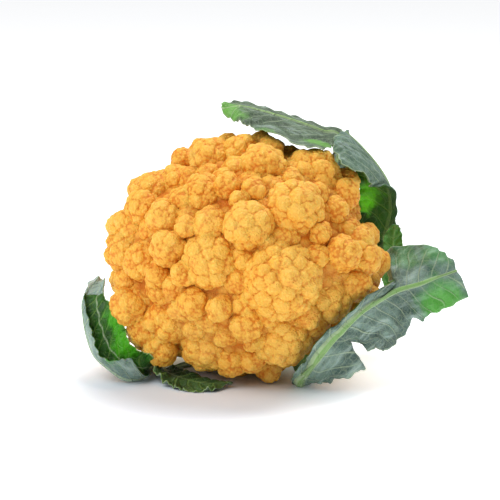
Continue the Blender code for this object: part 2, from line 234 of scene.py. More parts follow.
class Shader(Tree):
    """A material that ends in one Principled shader."""

    def __init__(self, name: str) -> None:
        """Starts an empty material of that name."""
        self.material = bpy.data.materials.new(name)
        self.material.use_nodes = True
        super().__init__(self.material.node_tree)
        self.tree.nodes.clear()
        coordinates = self.node("ShaderNodeTexCoord")
        self.place = Value(self, coordinates.outputs["Object"])
        self.uv = Value(self, coordinates.outputs["UV"])

    def attribute(self, name: str) -> Value:
        """A number stored on the piece's points."""
        return Value(self, self.node("ShaderNodeAttribute", {"attribute_name": name}).outputs["Fac"])

    def parts_of(self, vector: Value) -> tuple[Value, Value, Value]:
        """The three numbers of a vector."""
        made = self.node("ShaderNodeSeparateXYZ", None, {0: vector})
        return tuple(Value(self, made.outputs[i]) for i in range(3))

    def stretched(self, along: float, across: float) -> Any:
        """The surface's own places, scaled along and across it."""
        inputs = {"Vector": self.uv, "Scale": (along, across, 1.0)}
        return self.node("ShaderNodeMapping", None, inputs).outputs[0]

    def bump(self, height: Value, distance: float, strength: float) -> Value:
        """A bump from a height of 0 to 1 that stands distance metres proud."""
        inputs = {"Height": height, "Distance": distance, "Strength": strength}
        return Value(self, self.node("ShaderNodeBump", None, inputs).outputs[0])

    def close(
        self, base: Any, roughness: Any, soft: tuple[float, Colour] | None = None, **others: Any
    ) -> bpy.types.Material:
        """Ends the material in a Principled shader.

        Args:
            base: The colour.
            roughness: The roughness.
            soft: How much light goes through the flesh, and how far each colour of it, in metres.
            others: More inputs, by name with underscores for spaces.

        Returns:
            The material.
        """
        inputs = {"Base Color": base, "Roughness": roughness}
        if soft:
            inputs |= {"Subsurface Weight": soft[0], "Subsurface Radius": soft[1], "Subsurface Scale": 0.5}
        inputs |= {key.replace("_", " "): value for key, value in others.items()}
        shader = self.node("ShaderNodeBsdfPrincipled", None, inputs)
        self.node("ShaderNodeOutputMaterial", None, {0: shader.outputs[0]})
        return self.material


def colour(red: int, green: int, blue: int) -> Colour:
    """A screen colour from 0 to 255, as Blender's linear one."""
    parts = (red / 255, green / 255, blue / 255)
    return tuple(((c + 0.055) / 1.055) ** 2.4 if c > 10 / 255 else c / 12.92 for c in parts)


def linked(name: str, data: Any) -> bpy.types.Object:
    """An object of that name round the data, linked to the scene."""
    made = bpy.data.objects.new(name, data)
    bpy.context.scene.collection.objects.link(made)
    return made


def mesh_object(
    name: str,
    points_mm: np.ndarray,
    faces: np.ndarray,
    material: bpy.types.Material,
    **point_values: np.ndarray,
) -> bpy.types.Object:
    """Makes a smooth mesh object with its place in its mesh.

    Args:
        name: The piece's name.
        points_mm: Places from the curd's centre, in millimetres.
        faces: Rows of three or four point numbers, facing outwards.
        material: Its finish.
        point_values: Numbers for the material, one a point, by attribute name.

    Returns:
        The object, linked to the scene.
    """
    mesh = bpy.data.meshes.new(name)
    placed = (points_mm + CURD_CENTRE) * MM
    placed[:, 2] = np.maximum(placed[:, 2], 0.0)
    mesh.from_pydata(placed.tolist(), [], faces.tolist())
    for key, values in point_values.items():
        mesh.attributes.new(key, "FLOAT", "POINT").data.foreach_set("value", np.asarray(values, np.float32))
    mesh.shade_smooth()
    mesh.materials.append(material)
    return linked(name, mesh)


def enlist(piece: bpy.types.Object, slot: str, *nodes: str) -> None:
    """Rides a finished piece on the head, hides the solids that it stands for, and reports it."""
    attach(piece, BODY)
    if nodes:
        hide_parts(*nodes)
    LOG.info("%s: %d faces", piece.name, len(piece.data.polygons))


@dataclass(frozen=True)
class CurdFinish:
    """Matt granular orange flesh, with a painted highlight on the lobes' tops and painted shade, deeper and
    redder, in the creases.
    """

    # light, middle: painted highlight on the tops; crease, deep: painted shade in the creases and deep in the
    # head.
    light: Colour = colour(250, 210, 104)
    middle: Colour = colour(243, 185, 70)
    crease: Colour = colour(218, 128, 24)
    deep: Colour = colour(172, 86, 10)
    freckle: Colour = colour(196, 128, 66)
    bead_size: float = 0.0012
    bead_height: float = 0.0005

    def material(self) -> bpy.types.Material:
        """Builds the finish."""
        s = Shader("curd_orange")
        beads = s.cells(s.place, 1 / self.bead_size)
        coarse = s.cells(s.place, 0.48 / self.bead_size)
        cloud = s.noise(s.place, 38.0, 3.0)
        fine = s.noise(s.place, 420.0, 2.0)
        lobe = s.step(s.attribute("lobe_rise"), 0.0, 1.0)
        knob = s.step(s.attribute("knob_rise"), 0.0, 0.9)
        # The mask of painted shade deep in the head.
        depth = s.step(s.attribute("head_depth"), 0.0, 1.0)
        rise = s.least(lobe * 0.75 + knob * 0.3 + (fine - 0.5) * 0.4, 1.0)
        spots = s.step(s.noise(s.place, 150.0, 4.0, 0.65), 0.60, 0.72) * s.step(cloud, 0.5, 0.62)
        # Painted highlight on the tops, painted shade in creases, between beads and deep in the head; cloud
        # and freckles are real.
        base = s.layered(
            self.crease,
            (s.step(rise, 0.0, 0.5), self.middle),
            (s.step(rise, 0.5, 1.2) * 0.6, self.light),
            (s.step(beads, 0.35, 0.75) * 0.3, self.crease),
            (s.step(cloud, 0.42, 0.62) * 0.22, self.light),
            (spots * 0.45, self.freckle),
            (depth * 0.5, self.deep),
        )
        height = (1.0 - s.step(beads, 0.0, 0.8)) * 0.75 + (1.0 - s.step(coarse, 0.0, 0.9)) * 0.25
        normal = s.bump(height, self.bead_height, 0.9)
        return s.close(base, 0.62, (0.22, (0.006, 0.0028, 0.001)), Specular_IOR_Level=0.35, Normal=normal)


@dataclass(frozen=True)
class BranchFinish:
    """Smooth pale flesh, warmer towards the florets."""

    pale: Colour = colour(232, 222, 164)
    warm: Colour = colour(232, 186, 104)

    def material(self) -> bpy.types.Material:
        """Builds the finish."""
        s = Shader("branch_cream")
        cloud = s.noise(s.place, 70.0, 4.0)
        far = s.step(s.distance(s.place, tuple((CURD_CENTRE - 60.0 * AXIS) * MM)), 0.045, 0.085)
        base = s.mix(far * 0.8 + (cloud - 0.5) * 0.5, self.pale, self.warm)
        normal = s.bump(s.noise(s.place, 420.0, 3.0), 0.0004, 0.6)
        return s.close(base, 0.55, (0.15, (0.004, 0.003, 0.002)), Normal=normal)


@dataclass(frozen=True)
class Floret:
    """One floret of the face: its dome's middle as seen from the front, its radius and how proud it is."""

    across: float
    up: float
    radius: float
    proud: float = 0.0

    outline = 0.97
    halvings = 40

    def middle(self, scale: float) -> np.ndarray:
        """The dome's middle, on the view line through it and its scaled radius under the envelope.

        A dome past the outline is first drawn in, by hundredths.
        """
        depth = self.radius * scale - self.proud
        flat = np.array((self.across, self.up))
        reach = 1.0
        while envelope_value(from_view((*(flat * reach), 0.0)), depth)[0] > self.outline:
            reach -= 0.01
        near, far = 0.0, CURD_HALF_WIDTH
        for _ in range(self.halvings):
            middle = (near + far) / 2
            inside = envelope_value(from_view((*(flat * reach), middle)), depth)[0] < 1.0
            near, far = (middle, far) if inside else (near, middle)
        return from_view((*(flat * reach), near))


FACE_FLORETS = (
    Floret(-57, 27, 11.5), Floret(-75, 19, 13), Floret(-71, 4, 13), Floret(-58, 43, 11), Floret(-42, 46, 11),
    Floret(-19, 56, 12.5, 1), Floret(-3, 66, 12), Floret(16, 67, 8), Floret(10, 51, 13, 2),
    Floret(-26, 67, 10.5), Floret(-23, 35, 12), Floret(5, 37, 7.5), Floret(-3, 31, 6.5), Floret(2, 17, 14, 4),
    Floret(-45, 22, 10.5, 1), Floret(-33, 17, 7), Floret(-19, 18, 10), Floret(-18, -2, 16.5, 1),
    Floret(-42, 5, 11, 1), Floret(-57, -2, 11.5), Floret(-34, -9, 7.5), Floret(-35, 32, 8),
    Floret(28, 27, 16, 4), Floret(40, 48, 17.5, 1), Floret(60, 38, 10), Floret(50, 26, 8.5, -3),
    Floret(60, 17, 10, -4), Floret(74, 11, 8.5, -1), Floret(54, 2, 10.5, 1), Floret(69, 0, 11.5),
    Floret(20, -13, 21.5, 7), Floret(42, 13, 7, -3), Floret(63, -16, 10, -1), Floret(47, -24, 14, -3),
    Floret(35, -33, 7.5, -3), Floret(25, -53, 17.5), Floret(1, -37, 9, -1), Floret(-14, -28, 8),
    Floret(-7, -58, 10), Floret(-21, -50, 14.5, 1), Floret(5, -67, 8.5, -2), Floret(-43, -36, 14),
    Floret(-57, -26, 13.5), Floret(-72, -15, 9), Floret(-48, -52, 10.5, 7), Floret(-65.5, -28, 11, 8),
    Floret(-57.5, -42, 11.5, 8), Floret(-20, -64, 9, -1),
)


@dataclass(frozen=True)
class Filling:
    """A rule that adds florets at evenly spread places, where those before it leave room."""

    places: int
    radius: float
    spacing: float
    sink: float = 0.0
    scatter: float = 0.0


# A floret's skin has most of its triangles on the outer side. These are that side's area at a radius of 1,
# what the lobes add to it, a triangle's area at an edge of 1, and the side's share of triangles and of area.
OUTER_AREA = 7.38
LOBED_AREA = 1.3
TRIANGLE_AREA = 0.433
OUTER_TRIANGLES = 0.82
OUTER_SHARE = 0.587
OUTER_SLOPE = 0.716
INNER_SLOPE = 2.294
ICOSAHEDRON_FACES = 20


def spread_directions(count: int) -> np.ndarray:
    """Directions spread evenly over a sphere, from its +Z pole down."""
    steps = np.arange(count) + 0.5
    z = 1 - 2 * steps / count
    turn = steps * math.pi * (3 - math.sqrt(5))
    ring = np.sqrt(1 - z * z)
    return np.stack((ring * np.cos(turn), ring * np.sin(turn), z), 1)


def split_sphere(frequency: int) -> tuple[np.ndarray, np.ndarray]:
    """An evenly split sphere of radius 1.

    Args:
        frequency: Into how many each edge of the icosahedron is split.

    Returns:
        Its points and its triangles.
    """
    shape = bmesh.new()
    bmesh.ops.create_icosphere(shape, subdivisions=1, radius=1.0)
    bmesh.ops.subdivide_edges(shape, edges=shape.edges[:], cuts=frequency - 1, use_grid_fill=True)
    bmesh.ops.triangulate(shape, faces=shape.faces[:])
    bmesh.ops.recalc_face_normals(shape, faces=shape.faces[:])
    shape.verts.index_update()
    points = unit([vertex.co[:] for vertex in shape.verts])
    faces = np.array([[vertex.index for vertex in face.verts] for face in shape.faces])
    shape.free()
    return points, faces


def floret_skin(radius: float, edge: float) -> tuple[np.ndarray, np.ndarray]:
    """A sphere of radius 1, whose outer side about +Z has the finer triangles.

    Args:
        radius: The radius that it will get.
        edge: The length of the outer triangles' edges at that radius.

    Returns:
        Its points and its triangles.
    """
    whole = OUTER_AREA * LOBED_AREA / TRIANGLE_AREA / OUTER_TRIANGLES / ICOSAHEDRON_FACES
    points, faces = split_sphere(int(np.clip(radius * math.sqrt(whole) / edge, 8, 44)))
    share = (1 - points[:, 2]) / 2
    inner = OUTER_SHARE + (share - OUTER_TRIANGLES) * INNER_SLOPE
    height = 1 - 2 * np.where(share < OUTER_TRIANGLES, OUTER_SLOPE * share, inner)
    ring = np.sqrt(np.maximum(1 - height**2, 0) / np.maximum(1 - points[:, 2] ** 2, 1e-9))
    return unit(np.stack((points[:, 0] * ring, points[:, 1] * ring, height), 1)), faces


def exit_distances(directions: np.ndarray, centres: np.ndarray, radii: np.ndarray) -> np.ndarray:
    """How far along each direction from the origin each ball is left, 0 where it is missed."""
    along = directions @ centres.T
    inside = along**2 - ((centres**2).sum(1) - radii**2)
    return np.where(inside > 0, np.maximum(along + np.sqrt(np.maximum(inside, 0)), 0), 0)


def turned_to(outward: np.ndarray, turn: float) -> np.ndarray:
    """Rows of a frame whose third axis is outward, turned about it."""
    side = unit(np.cross((0.2, 0.3, 0.93), outward))
    rise = np.cross(outward, side)
    cos, sin = math.cos(turn), math.sin(turn)
    return np.array((side * cos + rise * sin, rise * cos - side * sin, outward))


CROWN_EDGE = 0.80


class Region(Enum):
    """The parts of the curd, each one piece: the florets of one sector round the head's axis."""

    CROWN = "curd_crown"
    RIGHT = "curd_right_side"
    UPPER_RIGHT = "curd_upper_right"
    UPPER_LEFT = "curd_upper_left"
    LEFT = "curd_left_side"
    LOWER_LEFT = "curd_lower_left"
    LOWER_RIGHT = "curd_lower_right"

    @classmethod
    def of(cls, middle: np.ndarray) -> "Region":
        """The region that a floret's middle lies in."""
        side, rise, out = HEAD @ unit(middle)
        if out > CROWN_EDGE:
            return cls.CROWN
        sectors = [region for region in cls if region is not cls.CROWN]
        width = 360 / len(sectors)
        turn = (math.degrees(math.atan2(rise, side)) + width / 2) % 360
        return sectors[int(turn // width)]


class Rule(Tree):
    """A geometry node tree with named inputs, which makes what repeats or follows a surface."""

    def __init__(self, name: str, sizes: dict[str, float], seed: int) -> None:
        """Starts the tree.

        Args:
            name: The tree's name.
            sizes: Its numbers by name, as they are set on the modifier.
            seed: The seed of anything random in it.
        """
        super().__init__(bpy.data.node_groups.new(name, "GeometryNodeTree"))
        sockets = self.tree.interface
        sockets.new_socket("Geometry", in_out="INPUT", socket_type="NodeSocketGeometry")
        sockets.new_socket("Geometry", in_out="OUTPUT", socket_type="NodeSocketGeometry")
        self.settings: dict[str, Any] = {}
        for key, value in sizes.items():
            made = sockets.new_socket(key, in_out="INPUT", socket_type="NodeSocketFloat")
            self.settings[made.identifier] = float(value)
        made = sockets.new_socket("Seed", in_out="INPUT", socket_type="NodeSocketInt")
        self.settings[made.identifier] = seed
        made = sockets.new_socket("Finish", in_out="INPUT", socket_type="NodeSocketMaterial")
        self.finish_socket = made.identifier
        self.start = self.node("NodeGroupInput")

    def named(self, name: str) -> Value:
        """One of the tree's inputs."""
        return Value(self, self.start.outputs[name])

    def stored(self, name: str) -> Value:
        """A number stored on the geometry's points."""
        made = self.node("GeometryNodeInputNamedAttribute", {"data_type": "FLOAT"}, {"Name": name})
        return Value(self, made.outputs["Attribute"])

    def through(self, kind: str, geometry: Any, **inputs: Any) -> Any:
        """Passes geometry through a node and gives the node's first output."""
        return self.node(kind, None, {0: geometry, **inputs}).outputs[0]

    def close(self, geometry: Any) -> None:
        """Ends the tree: instances made real, then the finish."""
        solid = self.through("GeometryNodeRealizeInstances", geometry)
        painted = self.through("GeometryNodeSetMaterial", solid, Material=self.named("Finish"))
        self.node("NodeGroupOutput", None, {0: painted})

    def apply(self, piece: bpy.types.Object, finish: bpy.types.Material) -> bpy.types.Object:
        """Runs the tree on a piece and keeps the result as its plain mesh."""
        modifier = piece.modifiers.new("rule", "NODES")
        modifier.node_group = self.tree
        for identifier, value in self.settings.items():
            modifier[identifier] = value
        modifier[self.finish_socket] = finish
        graph = bpy.context.evaluated_depsgraph_get()
        mesh = bpy.data.meshes.new_from_object(piece.evaluated_get(graph), depsgraph=graph)
        piece.modifiers.remove(modifier)
        for point in mesh.vertices:
            point.co.z = max(point.co.z, 0.0)
        piece.data = mesh
        mesh.name = piece.name
        return piece


def knob_rule(spacing: float, height: float, seed: int) -> Rule:
    """The rule that crowds round knobs over the florets' lobes.

    Args:
        spacing: The least distance between two knobs, in metres.
        height: How far a knob stands out of the crease round it, in metres.
        seed: The seed of their places.

    Returns:
        The rule. It also stores each point's height on its knob as knob_rise.
    """
    rule = Rule("knobs", {"Knob Spacing": spacing, "Knob Height": height}, seed)
    gap = rule.named("Knob Spacing")
    mesh = rule.start.outputs["Geometry"]
    scattered = rule.node(
        "GeometryNodeDistributePointsOnFaces",
        {"distribute_method": "POISSON"},
        {"Mesh": mesh, "Distance Min": gap, "Density Max": 4.0 / (gap * gap), "Seed": rule.named("Seed")},
    )
    nearest = rule.node("GeometryNodeProximity", {"target_element": "POINTS"}, {0: scattered.outputs[0]})
    share = Value(rule, nearest.outputs["Distance"]) / (gap * 0.72)
    rise = rule.most(1.0 - share * share, 0.0)
    stored = rule.node(
        "GeometryNodeStoreNamedAttribute",
        {"data_type": "FLOAT", "domain": "POINT"},
        {"Geometry": mesh, "Name": "knob_rise", "Value": rise},
    )
    height_here = rule.stored("knob_rise") * rule.named("Knob Height")
    normal = rule.node("GeometryNodeInputNormal").outputs[0]
    scaled = rule.node("ShaderNodeVectorMath", {"operation": "SCALE"}, {0: normal, "Scale": height_here})
    rule.close(rule.through("GeometryNodeSetPosition", stored.outputs[0], Offset=scaled.outputs[0]))
    return rule


def branch_rule(sides: int) -> Rule:
    """The rule that turns centrelines with a girth into round branches with closed ends."""
    rule = Rule("branches", {"Sides": sides}, 0)
    lines = rule.through("GeometryNodeMeshToCurve", rule.start.outputs["Geometry"])
    sizes = {"Resolution": rule.named("Sides"), "Radius": 1.0}
    circle = rule.node("GeometryNodeCurvePrimitiveCircle", None, sizes).outputs[0]
    inputs = {"Curve": lines, "Profile Curve": circle, "Scale": rule.stored("girth"), "Fill Caps": True}
    tubes = rule.node("GeometryNodeCurveToMesh", None, inputs)
    rule.close(rule.through("GeometryNodeSetShadeSmooth", tubes.outputs[0]))
    return rule


@dataclass
class Curd:
    """The head: a core, florets over it, and the branches that carry them. Sizes in millimetres."""

    core_split: int = 88
    core_depth: float = 11.5
    core_spacing: float = 5.5
    core_height: float = 1.8
    underside_depth: float = 34.0
    underside_angle: float = math.radians(125.0)
    floret_limit: float = math.radians(113.0)
    fillings: tuple[Filling, ...] = (
        Filling(260, 10.5, 0.74, scatter=0.05),
        Filling(1100, 9.5, 0.60, sink=5.5),
    )
    face_scale: float = 1.1
    ball_sink: float = 3.8
    mass_share: float = 0.17
    mass_radius: tuple[float, float] = (4.6, 7.0)
    mass_sink: tuple[float, float] = (0.0, 1.5)
    mass_low: float = -0.45
    mass_limit: float = 0.6
    crease_width: float = 1.5
    lobe_share: float = 0.72
    lobe_radius: tuple[float, float] = (2.0, 3.1)
    lobe_stand: tuple[float, float] = (0.15, 0.65)
    face_edge: float = 0.62
    fill_edge: float = 0.78
    knob_spacing: float = 1.8
    knob_height: float = 0.2
    part_size: int = 2000
    rim_height: float = 0.12
    # Painted shade deep in the head: the core's flat share of it, where it starts in millimetres, and how far
    # it takes to fill.
    core_depth_shade: float = 0.4
    depth_shade_start: float = 8.0
    depth_shade_reach: float = 14.0
    branch_steps: int = 14
    branch_girth: float = 4.6
    seed: int = 11
    finish: CurdFinish = field(default_factory=CurdFinish)

    def florets(self, random: np.random.Generator) -> list[tuple[np.ndarray, float, float]]:
        """Every floret's middle, radius and mesh edge: the face as seen, then the rules for the rest."""
        scale = self.face_scale
        found = [(floret.middle(scale), floret.radius * scale, self.face_edge) for floret in FACE_FLORETS]
        for rule in self.fillings:
            for direction in spread_directions(rule.places):
                if math.acos(direction[2]) > self.floret_limit:
                    continue
                radius = rule.radius * random.uniform(0.8, 1.15)
                if rule.scatter:
                    direction = unit(direction + random.normal(0, rule.scatter, 3))
                outward = direction @ HEAD
                middle = outward / envelope_value(outward, radius + rule.sink)[0]
                room = rule.spacing
                if all(np.linalg.norm(other - middle) > room * (r + radius) for other, r, _ in found):
                    found.append((middle, radius, self.fill_edge))
        LOG.info("%d florets", len(found))
        return found

    def shell(self, middle: np.ndarray, radius: float, edge: float, random: np.random.Generator) -> Shell:
        """One floret's closed shell.

        Args:
            middle: Its middle, from the curd's centre.
            radius: The radius its lobes reach.
            edge: The mesh's edge length on its outer side.
            random: Draws its turn and its lobes' sizes.

        Returns:
            Its points, its triangles and each point's rise above the creases between lobes.
        """
        local, faces = floret_skin(radius, edge)
        frame_rows = turned_to(unit(middle), random.uniform(0, 2 * math.pi))
        directions = local @ frame_rows
        count = int(self.mass_share * radius**2)
        outward = unit(spread_directions(count) + random.normal(0, 0.8 / math.sqrt(count), (count, 3)))
        outward = outward[outward[:, 2] > self.mass_low] @ frame_rows
        sizes = np.minimum(random.uniform(*self.mass_radius, len(outward)), radius * self.mass_limit)
        masses = outward * (radius - random.uniform(*self.mass_sink, len(outward)) - sizes)[:, None]
        lobes, lobe_sizes = [], []
        for place, size, out in zip(masses, sizes, outward):
            count = int(self.lobe_share * size**2)
            tips = spread_directions(count) @ turned_to(out, random.uniform(0, 2 * math.pi))
            tips = unit(tips + random.normal(0, 0.5 / math.sqrt(count), (count, 3)))
            tips = tips[tips @ out > 0.0]
            girths = random.uniform(*self.lobe_radius, len(tips))
            reach = size + random.uniform(*self.lobe_stand, len(tips)) - girths
            lobes.append(place + tips * reach[:, None])
            lobe_sizes.append(girths)
        masses = np.concatenate((np.zeros((1, 3)), masses))
        sizes = np.concatenate(([radius - self.ball_sink], sizes))
        lobes = np.concatenate(lobes)
        lobe_sizes = np.concatenate(lobe_sizes)
        best = np.empty(len(directions))
        rise = np.empty(len(directions))
        for part in np.array_split(np.arange(len(directions)), 1 + len(directions) // self.part_size):
            under = np.partition(exit_distances(directions[part], masses, sizes), -2, axis=1)[:, -2:]
            top = exit_distances(directions[part], lobes, lobe_sizes).max(1)
            best[part] = np.maximum(top, under[:, 1])
            apart = np.clip((under[:, 1] - under[:, 0]) / self.crease_width, 0, 1)
            rise[part] = 0.6 * apart + 0.4 * np.clip((top - under[:, 1]) / self.lobe_stand[1], 0, 1)
        return middle + directions * best[:, None], faces, rise

    def build_core(self, finish: bpy.types.Material) -> bpy.types.Object:
        """The flesh under the florets, cut back to a shallow underside."""
        directions, faces = split_sphere(self.core_split)
        reach = 1 / envelope_value(directions, self.core_depth)
        down = -(directions @ AXIS)
        under = down > -math.cos(self.underside_angle)
        reach[under] = np.minimum(reach[under], self.underside_depth / down[under])
        zero = np.zeros(len(directions))
        # The core is given a flat share of the painted shade deep in the head.
        rises = {"lobe_rise": zero, "knob_rise": zero, "head_depth": zero + self.core_depth_shade}
        core = mesh_object("curd_core", directions * reach[:, None], faces, finish, **rises)
        return knob_rule(self.core_spacing * MM, self.core_height * MM, self.seed).apply(core, finish)

    def build(self) -> None:
        """Makes the core and the florets, one piece for each region, and enlists them."""
        finish = self.finish.material()
        core = self.build_core(finish)
        enlist(core, "curd", "curd")
        random = np.random.default_rng(self.seed)
        groups: dict[Region, list[Shell]] = {region: [] for region in Region}
        self.rim: list[tuple[np.ndarray, float]] = []
        for middle, radius, edge in self.florets(random):
            groups[Region.of(middle)].append(self.shell(middle, radius, edge, random))
            if unit(middle) @ AXIS < self.rim_height:
                self.rim.append((middle, radius))
        rule = knob_rule(self.knob_spacing * MM, self.knob_height * MM, self.seed)
        for region, shells in groups.items():
            starts = np.cumsum([0] + [len(points) for points, _, _ in shells])
            points = np.concatenate([points for points, _, _ in shells])
            faces = np.concatenate([faces + start for (_, faces, _), start in zip(shells, starts)])
            rise = np.concatenate([rise for _, _, rise in shells])
            # Depth under the envelope paints shade deep in the head; lobe_rise paints highlight on tops and
            # shade in creases.
            inside = (1 - envelope_value(points)) * CURD_MEAN_RADIUS
            depth = np.clip((inside - self.depth_shade_start) / self.depth_shade_reach, 0, 1)
            piece = mesh_object(region.value, points, faces, finish, lobe_rise=rise, head_depth=depth)
            enlist(rule.apply(piece, finish), "curd")
        self.branches()

    def branches(self) -> None:
        """The branches that carry the rim's florets, seen from behind and from below."""
        random = np.random.default_rng(self.seed + 1)
        places, girths = [], []
        for middle, radius in self.rim:
            local = HEAD @ middle
            reach = np.linalg.norm(local[:2])
            turn = math.atan2(local[1], local[0]) + random.normal(0, 0.05)
            base = np.array((math.cos(turn), math.sin(turn)))
            sag = self.underside_depth + random.uniform(2.0, 5.0)
            route = (
                (*(base * 30.0), -sag - 7.0),
                (*(base * 42.0), -sag - 1.5),
                (*(local[:2] / reach * (44.0 + reach) / 2), -sag + 2.0),
                local,
            )
            places.append(smooth_curve(route, self.branch_steps) @ HEAD)
            girths.append(np.linspace(self.branch_girth, self.branch_girth * 0.72, self.branch_steps))
        points = (np.concatenate(places) + CURD_CENTRE) * MM
        steps = self.branch_steps
        edges = [(k * steps + i, k * steps + i + 1) for k in range(len(places)) for i in range(steps - 1)]
        mesh = bpy.data.meshes.new("curd_branches")
        mesh.from_pydata(points.tolist(), edges, [])
        girth = mesh.attributes.new("girth", "FLOAT", "POINT")
        girth.data.foreach_set("value", (np.concatenate(girths) * MM).astype(np.float32))
        piece = linked("curd_branches", mesh)
        enlist(branch_rule(14).apply(piece, BranchFinish().material()), "curd")


@dataclass(frozen=True)
class StemFinish:
    """Firm cream-green flesh with faint lengthways fibres, and a paler, browned cut."""

    rind: Colour = colour(176, 190, 120)
    pale: Colour = colour(222, 221, 172)
    flesh: Colour = colour(232, 226, 190)
    browned: Colour = colour(178, 142, 92)

    def material(self) -> bpy.types.Material:
        """Builds the finish. It reads places along and round the stem from the UV map, in metres."""
        s = Shader("stem_flesh")
        along, _, _ = s.parts_of(s.uv)
        fibres = s.noise(s.stretched(60.0, 900.0), 1.0, 4.0, 0.6)
        cloud = s.noise(s.place, 55.0, 4.0)
        ring = s.attribute("ring")
        wood = s.step(abs(ring - 0.72 - (cloud - 0.5) * 0.06), 0.0, 0.07, 1.0, 0.0)
        face = s.layered(
            self.flesh,
            (wood * 0.55, self.rind),
            (s.step(ring + (cloud - 0.5) * 0.5, 0.80, 1.02) * 0.8, self.browned),
            (s.step(s.noise(s.place, 260.0, 5.0, 0.7), 0.5, 0.75) * 0.4, self.browned),
        )
        base = s.layered(
            self.rind,
            (s.step(fibres, 0.35, 0.7) * 0.5, self.pale),
            (s.step(cloud, 0.4, 0.65) * 0.6, self.pale),
            (s.step(along, -0.062, -0.040) * 0.75, self.flesh),
            (s.attribute("cut"), face),
            (s.step(s.noise(s.place, 130.0, 3.0), 0.62, 0.7) * 0.35, self.browned),
        )
        roughness = s.step(cloud, 0.3, 0.7, 0.42, 0.6)
        return s.close(base, roughness, (0.15, (0.004, 0.004, 0.002)), Normal=s.bump(fibres, 0.0005, 0.7))


@dataclass
class Stem:
    """The cut stump, which opens into fluted branches under the curd. Sizes in millimetres."""

    radius: float = 19.5
    length: float = 97.5
    flutes: int = 9
    top: float = -34.4
    sides: int = 216
    rings: int = 150
    cap_rings: int = 12
    scars: int = 7
    scar_depth: float = 0.9
    finish: StemFinish = field(default_factory=StemFinish)

    def profile(self) -> np.ndarray:
        """Heights along the head's axis, radii and flute depths, from the cut up."""
        return np.array(
            (
                (-self.length, self.radius - 1.5, 0.0),
                (-self.length + 1.5, self.radius, 0.01),
                (-74.0, self.radius - 0.5, 0.02),
                (-62.0, 20.5, 0.05),
                (-54.0, 24.0, 0.09),
                (-47.0, 30.0, 0.13),
                (-41.0, 39.0, 0.18),
                (self.top - 3.0, 45.0, 0.16),
                (self.top, 45.0, 0.13),
            )
        )

    def build(self) -> None:
        """Makes the stump with its cut face as one closed skin."""
        profile = self.profile()
        reach = np.concatenate(([0], np.cumsum(np.linalg.norm(np.diff(profile[:, :2], axis=0), axis=1))))
        places = np.linspace(0, reach[-1], self.rings)
        heights, radii, flutes = (np.interp(places, reach, profile[:, k]) for k in range(3))
        kernel = np.array((1, 2, 3, 2, 1)) / 9
        radii[5:-5] = np.convolve(radii, kernel, "same")[5:-5]
        turns = np.arange(self.sides) * 2 * math.pi / self.sides
        rounded = np.abs(np.cos(turns * self.flutes / 2)) ** 0.7 - 0.5
        scars = self.leaf_scars(heights, turns)
        rings = radii[:, None] * (1 + flutes[:, None] * rounded[None]) - scars
        caps = np.linspace(0.0, 1.0, self.cap_rings + 2)[1:-1]
        rows = [(heights[0], rings[0] * share, share, 1.0) for share in caps]
        rows += [(height, ring, 1.0, 0.0) for height, ring in zip(heights, rings)]
        rows += [(self.top, rings[-1] * share, 1.0, 0.0) for share in caps[::-1]]
        round_side = np.cos(turns)[:, None] * SIDE + np.sin(turns)[:, None] * RISE
        around = [height * AXIS + ring[:, None] * round_side for height, ring, _, _ in rows]
        points = np.vstack((-self.length * AXIS, *around, self.top * AXIS))
        along, ring_share, cut = (np.repeat([row[k] for row in rows], self.sides) for k in (0, 2, 3))
        last = len(points) - 1
        here = np.arange(self.sides)
        after = (here + 1) % self.sides
        faces = [joined((np.zeros_like(here), 1 + after, 1 + here))]
        for low in range(1, last - self.sides, self.sides):
            high = low + self.sides
            faces.append(
                joined((low + here, low + after, high + after), (low + here, high + after, high + here))
            )
        top = last - self.sides
        faces.append(joined((np.full_like(here, last), top + here, top + after)))
        piece = mesh_object(
            "stem_stump",
            points,
            np.concatenate(faces),
            self.finish.material(),
            cut=np.concatenate(([1.0], cut, [0.0])),
            ring=np.concatenate(([0.0], ring_share, [1.0])),
        )
        turn = np.arctan2(points @ RISE, points @ SIDE) * self.radius
        along = np.concatenate(([-self.length], along, [self.top]))
        lay_uv(piece, np.stack((along, turn), 1) * MM)
        enlist(piece, "stem", "stem")

    def leaf_scars(self, heights: np.ndarray, turns: np.ndarray) -> np.ndarray:
        """How deep the crescent scars of picked leaves lie, in millimetres, by height and turn."""
        depth = np.zeros((len(heights), len(turns)))
        for k in range(self.scars):
            level = -91.0 + 3.6 * k
            middle = 0.9 + k * math.radians(137.5)
            off = np.angle(np.exp(1j * (turns - middle)))[None]
            bow = (heights[:, None] - level - 3.0 * np.cos(np.clip(off * 1.6, -1.5, 1.5))) / 1.1
            depth += self.scar_depth * np.exp(-(bow**2)) * np.exp(-((off / 0.75) ** 4))
        return depth


def lay_uv(piece: bpy.types.Object, places: np.ndarray) -> None:
    """Gives a piece a UV map from one place a point, in metres."""
    loops = np.empty(len(piece.data.loops), np.int32)
    piece.data.loops.foreach_get("vertex_index", loops)
    layer = piece.data.uv_layers.new(name="surface")
    layer.data.foreach_set("uv", places[loops].astype(np.float32).ravel())


@dataclass(frozen=True)
class Spot:
    """A sunlit place on a leaf as seen from the front: its middle, its radius and its strength."""

    across: float
    up: float
    toward: float
    radius: float
    share: float = 1.0


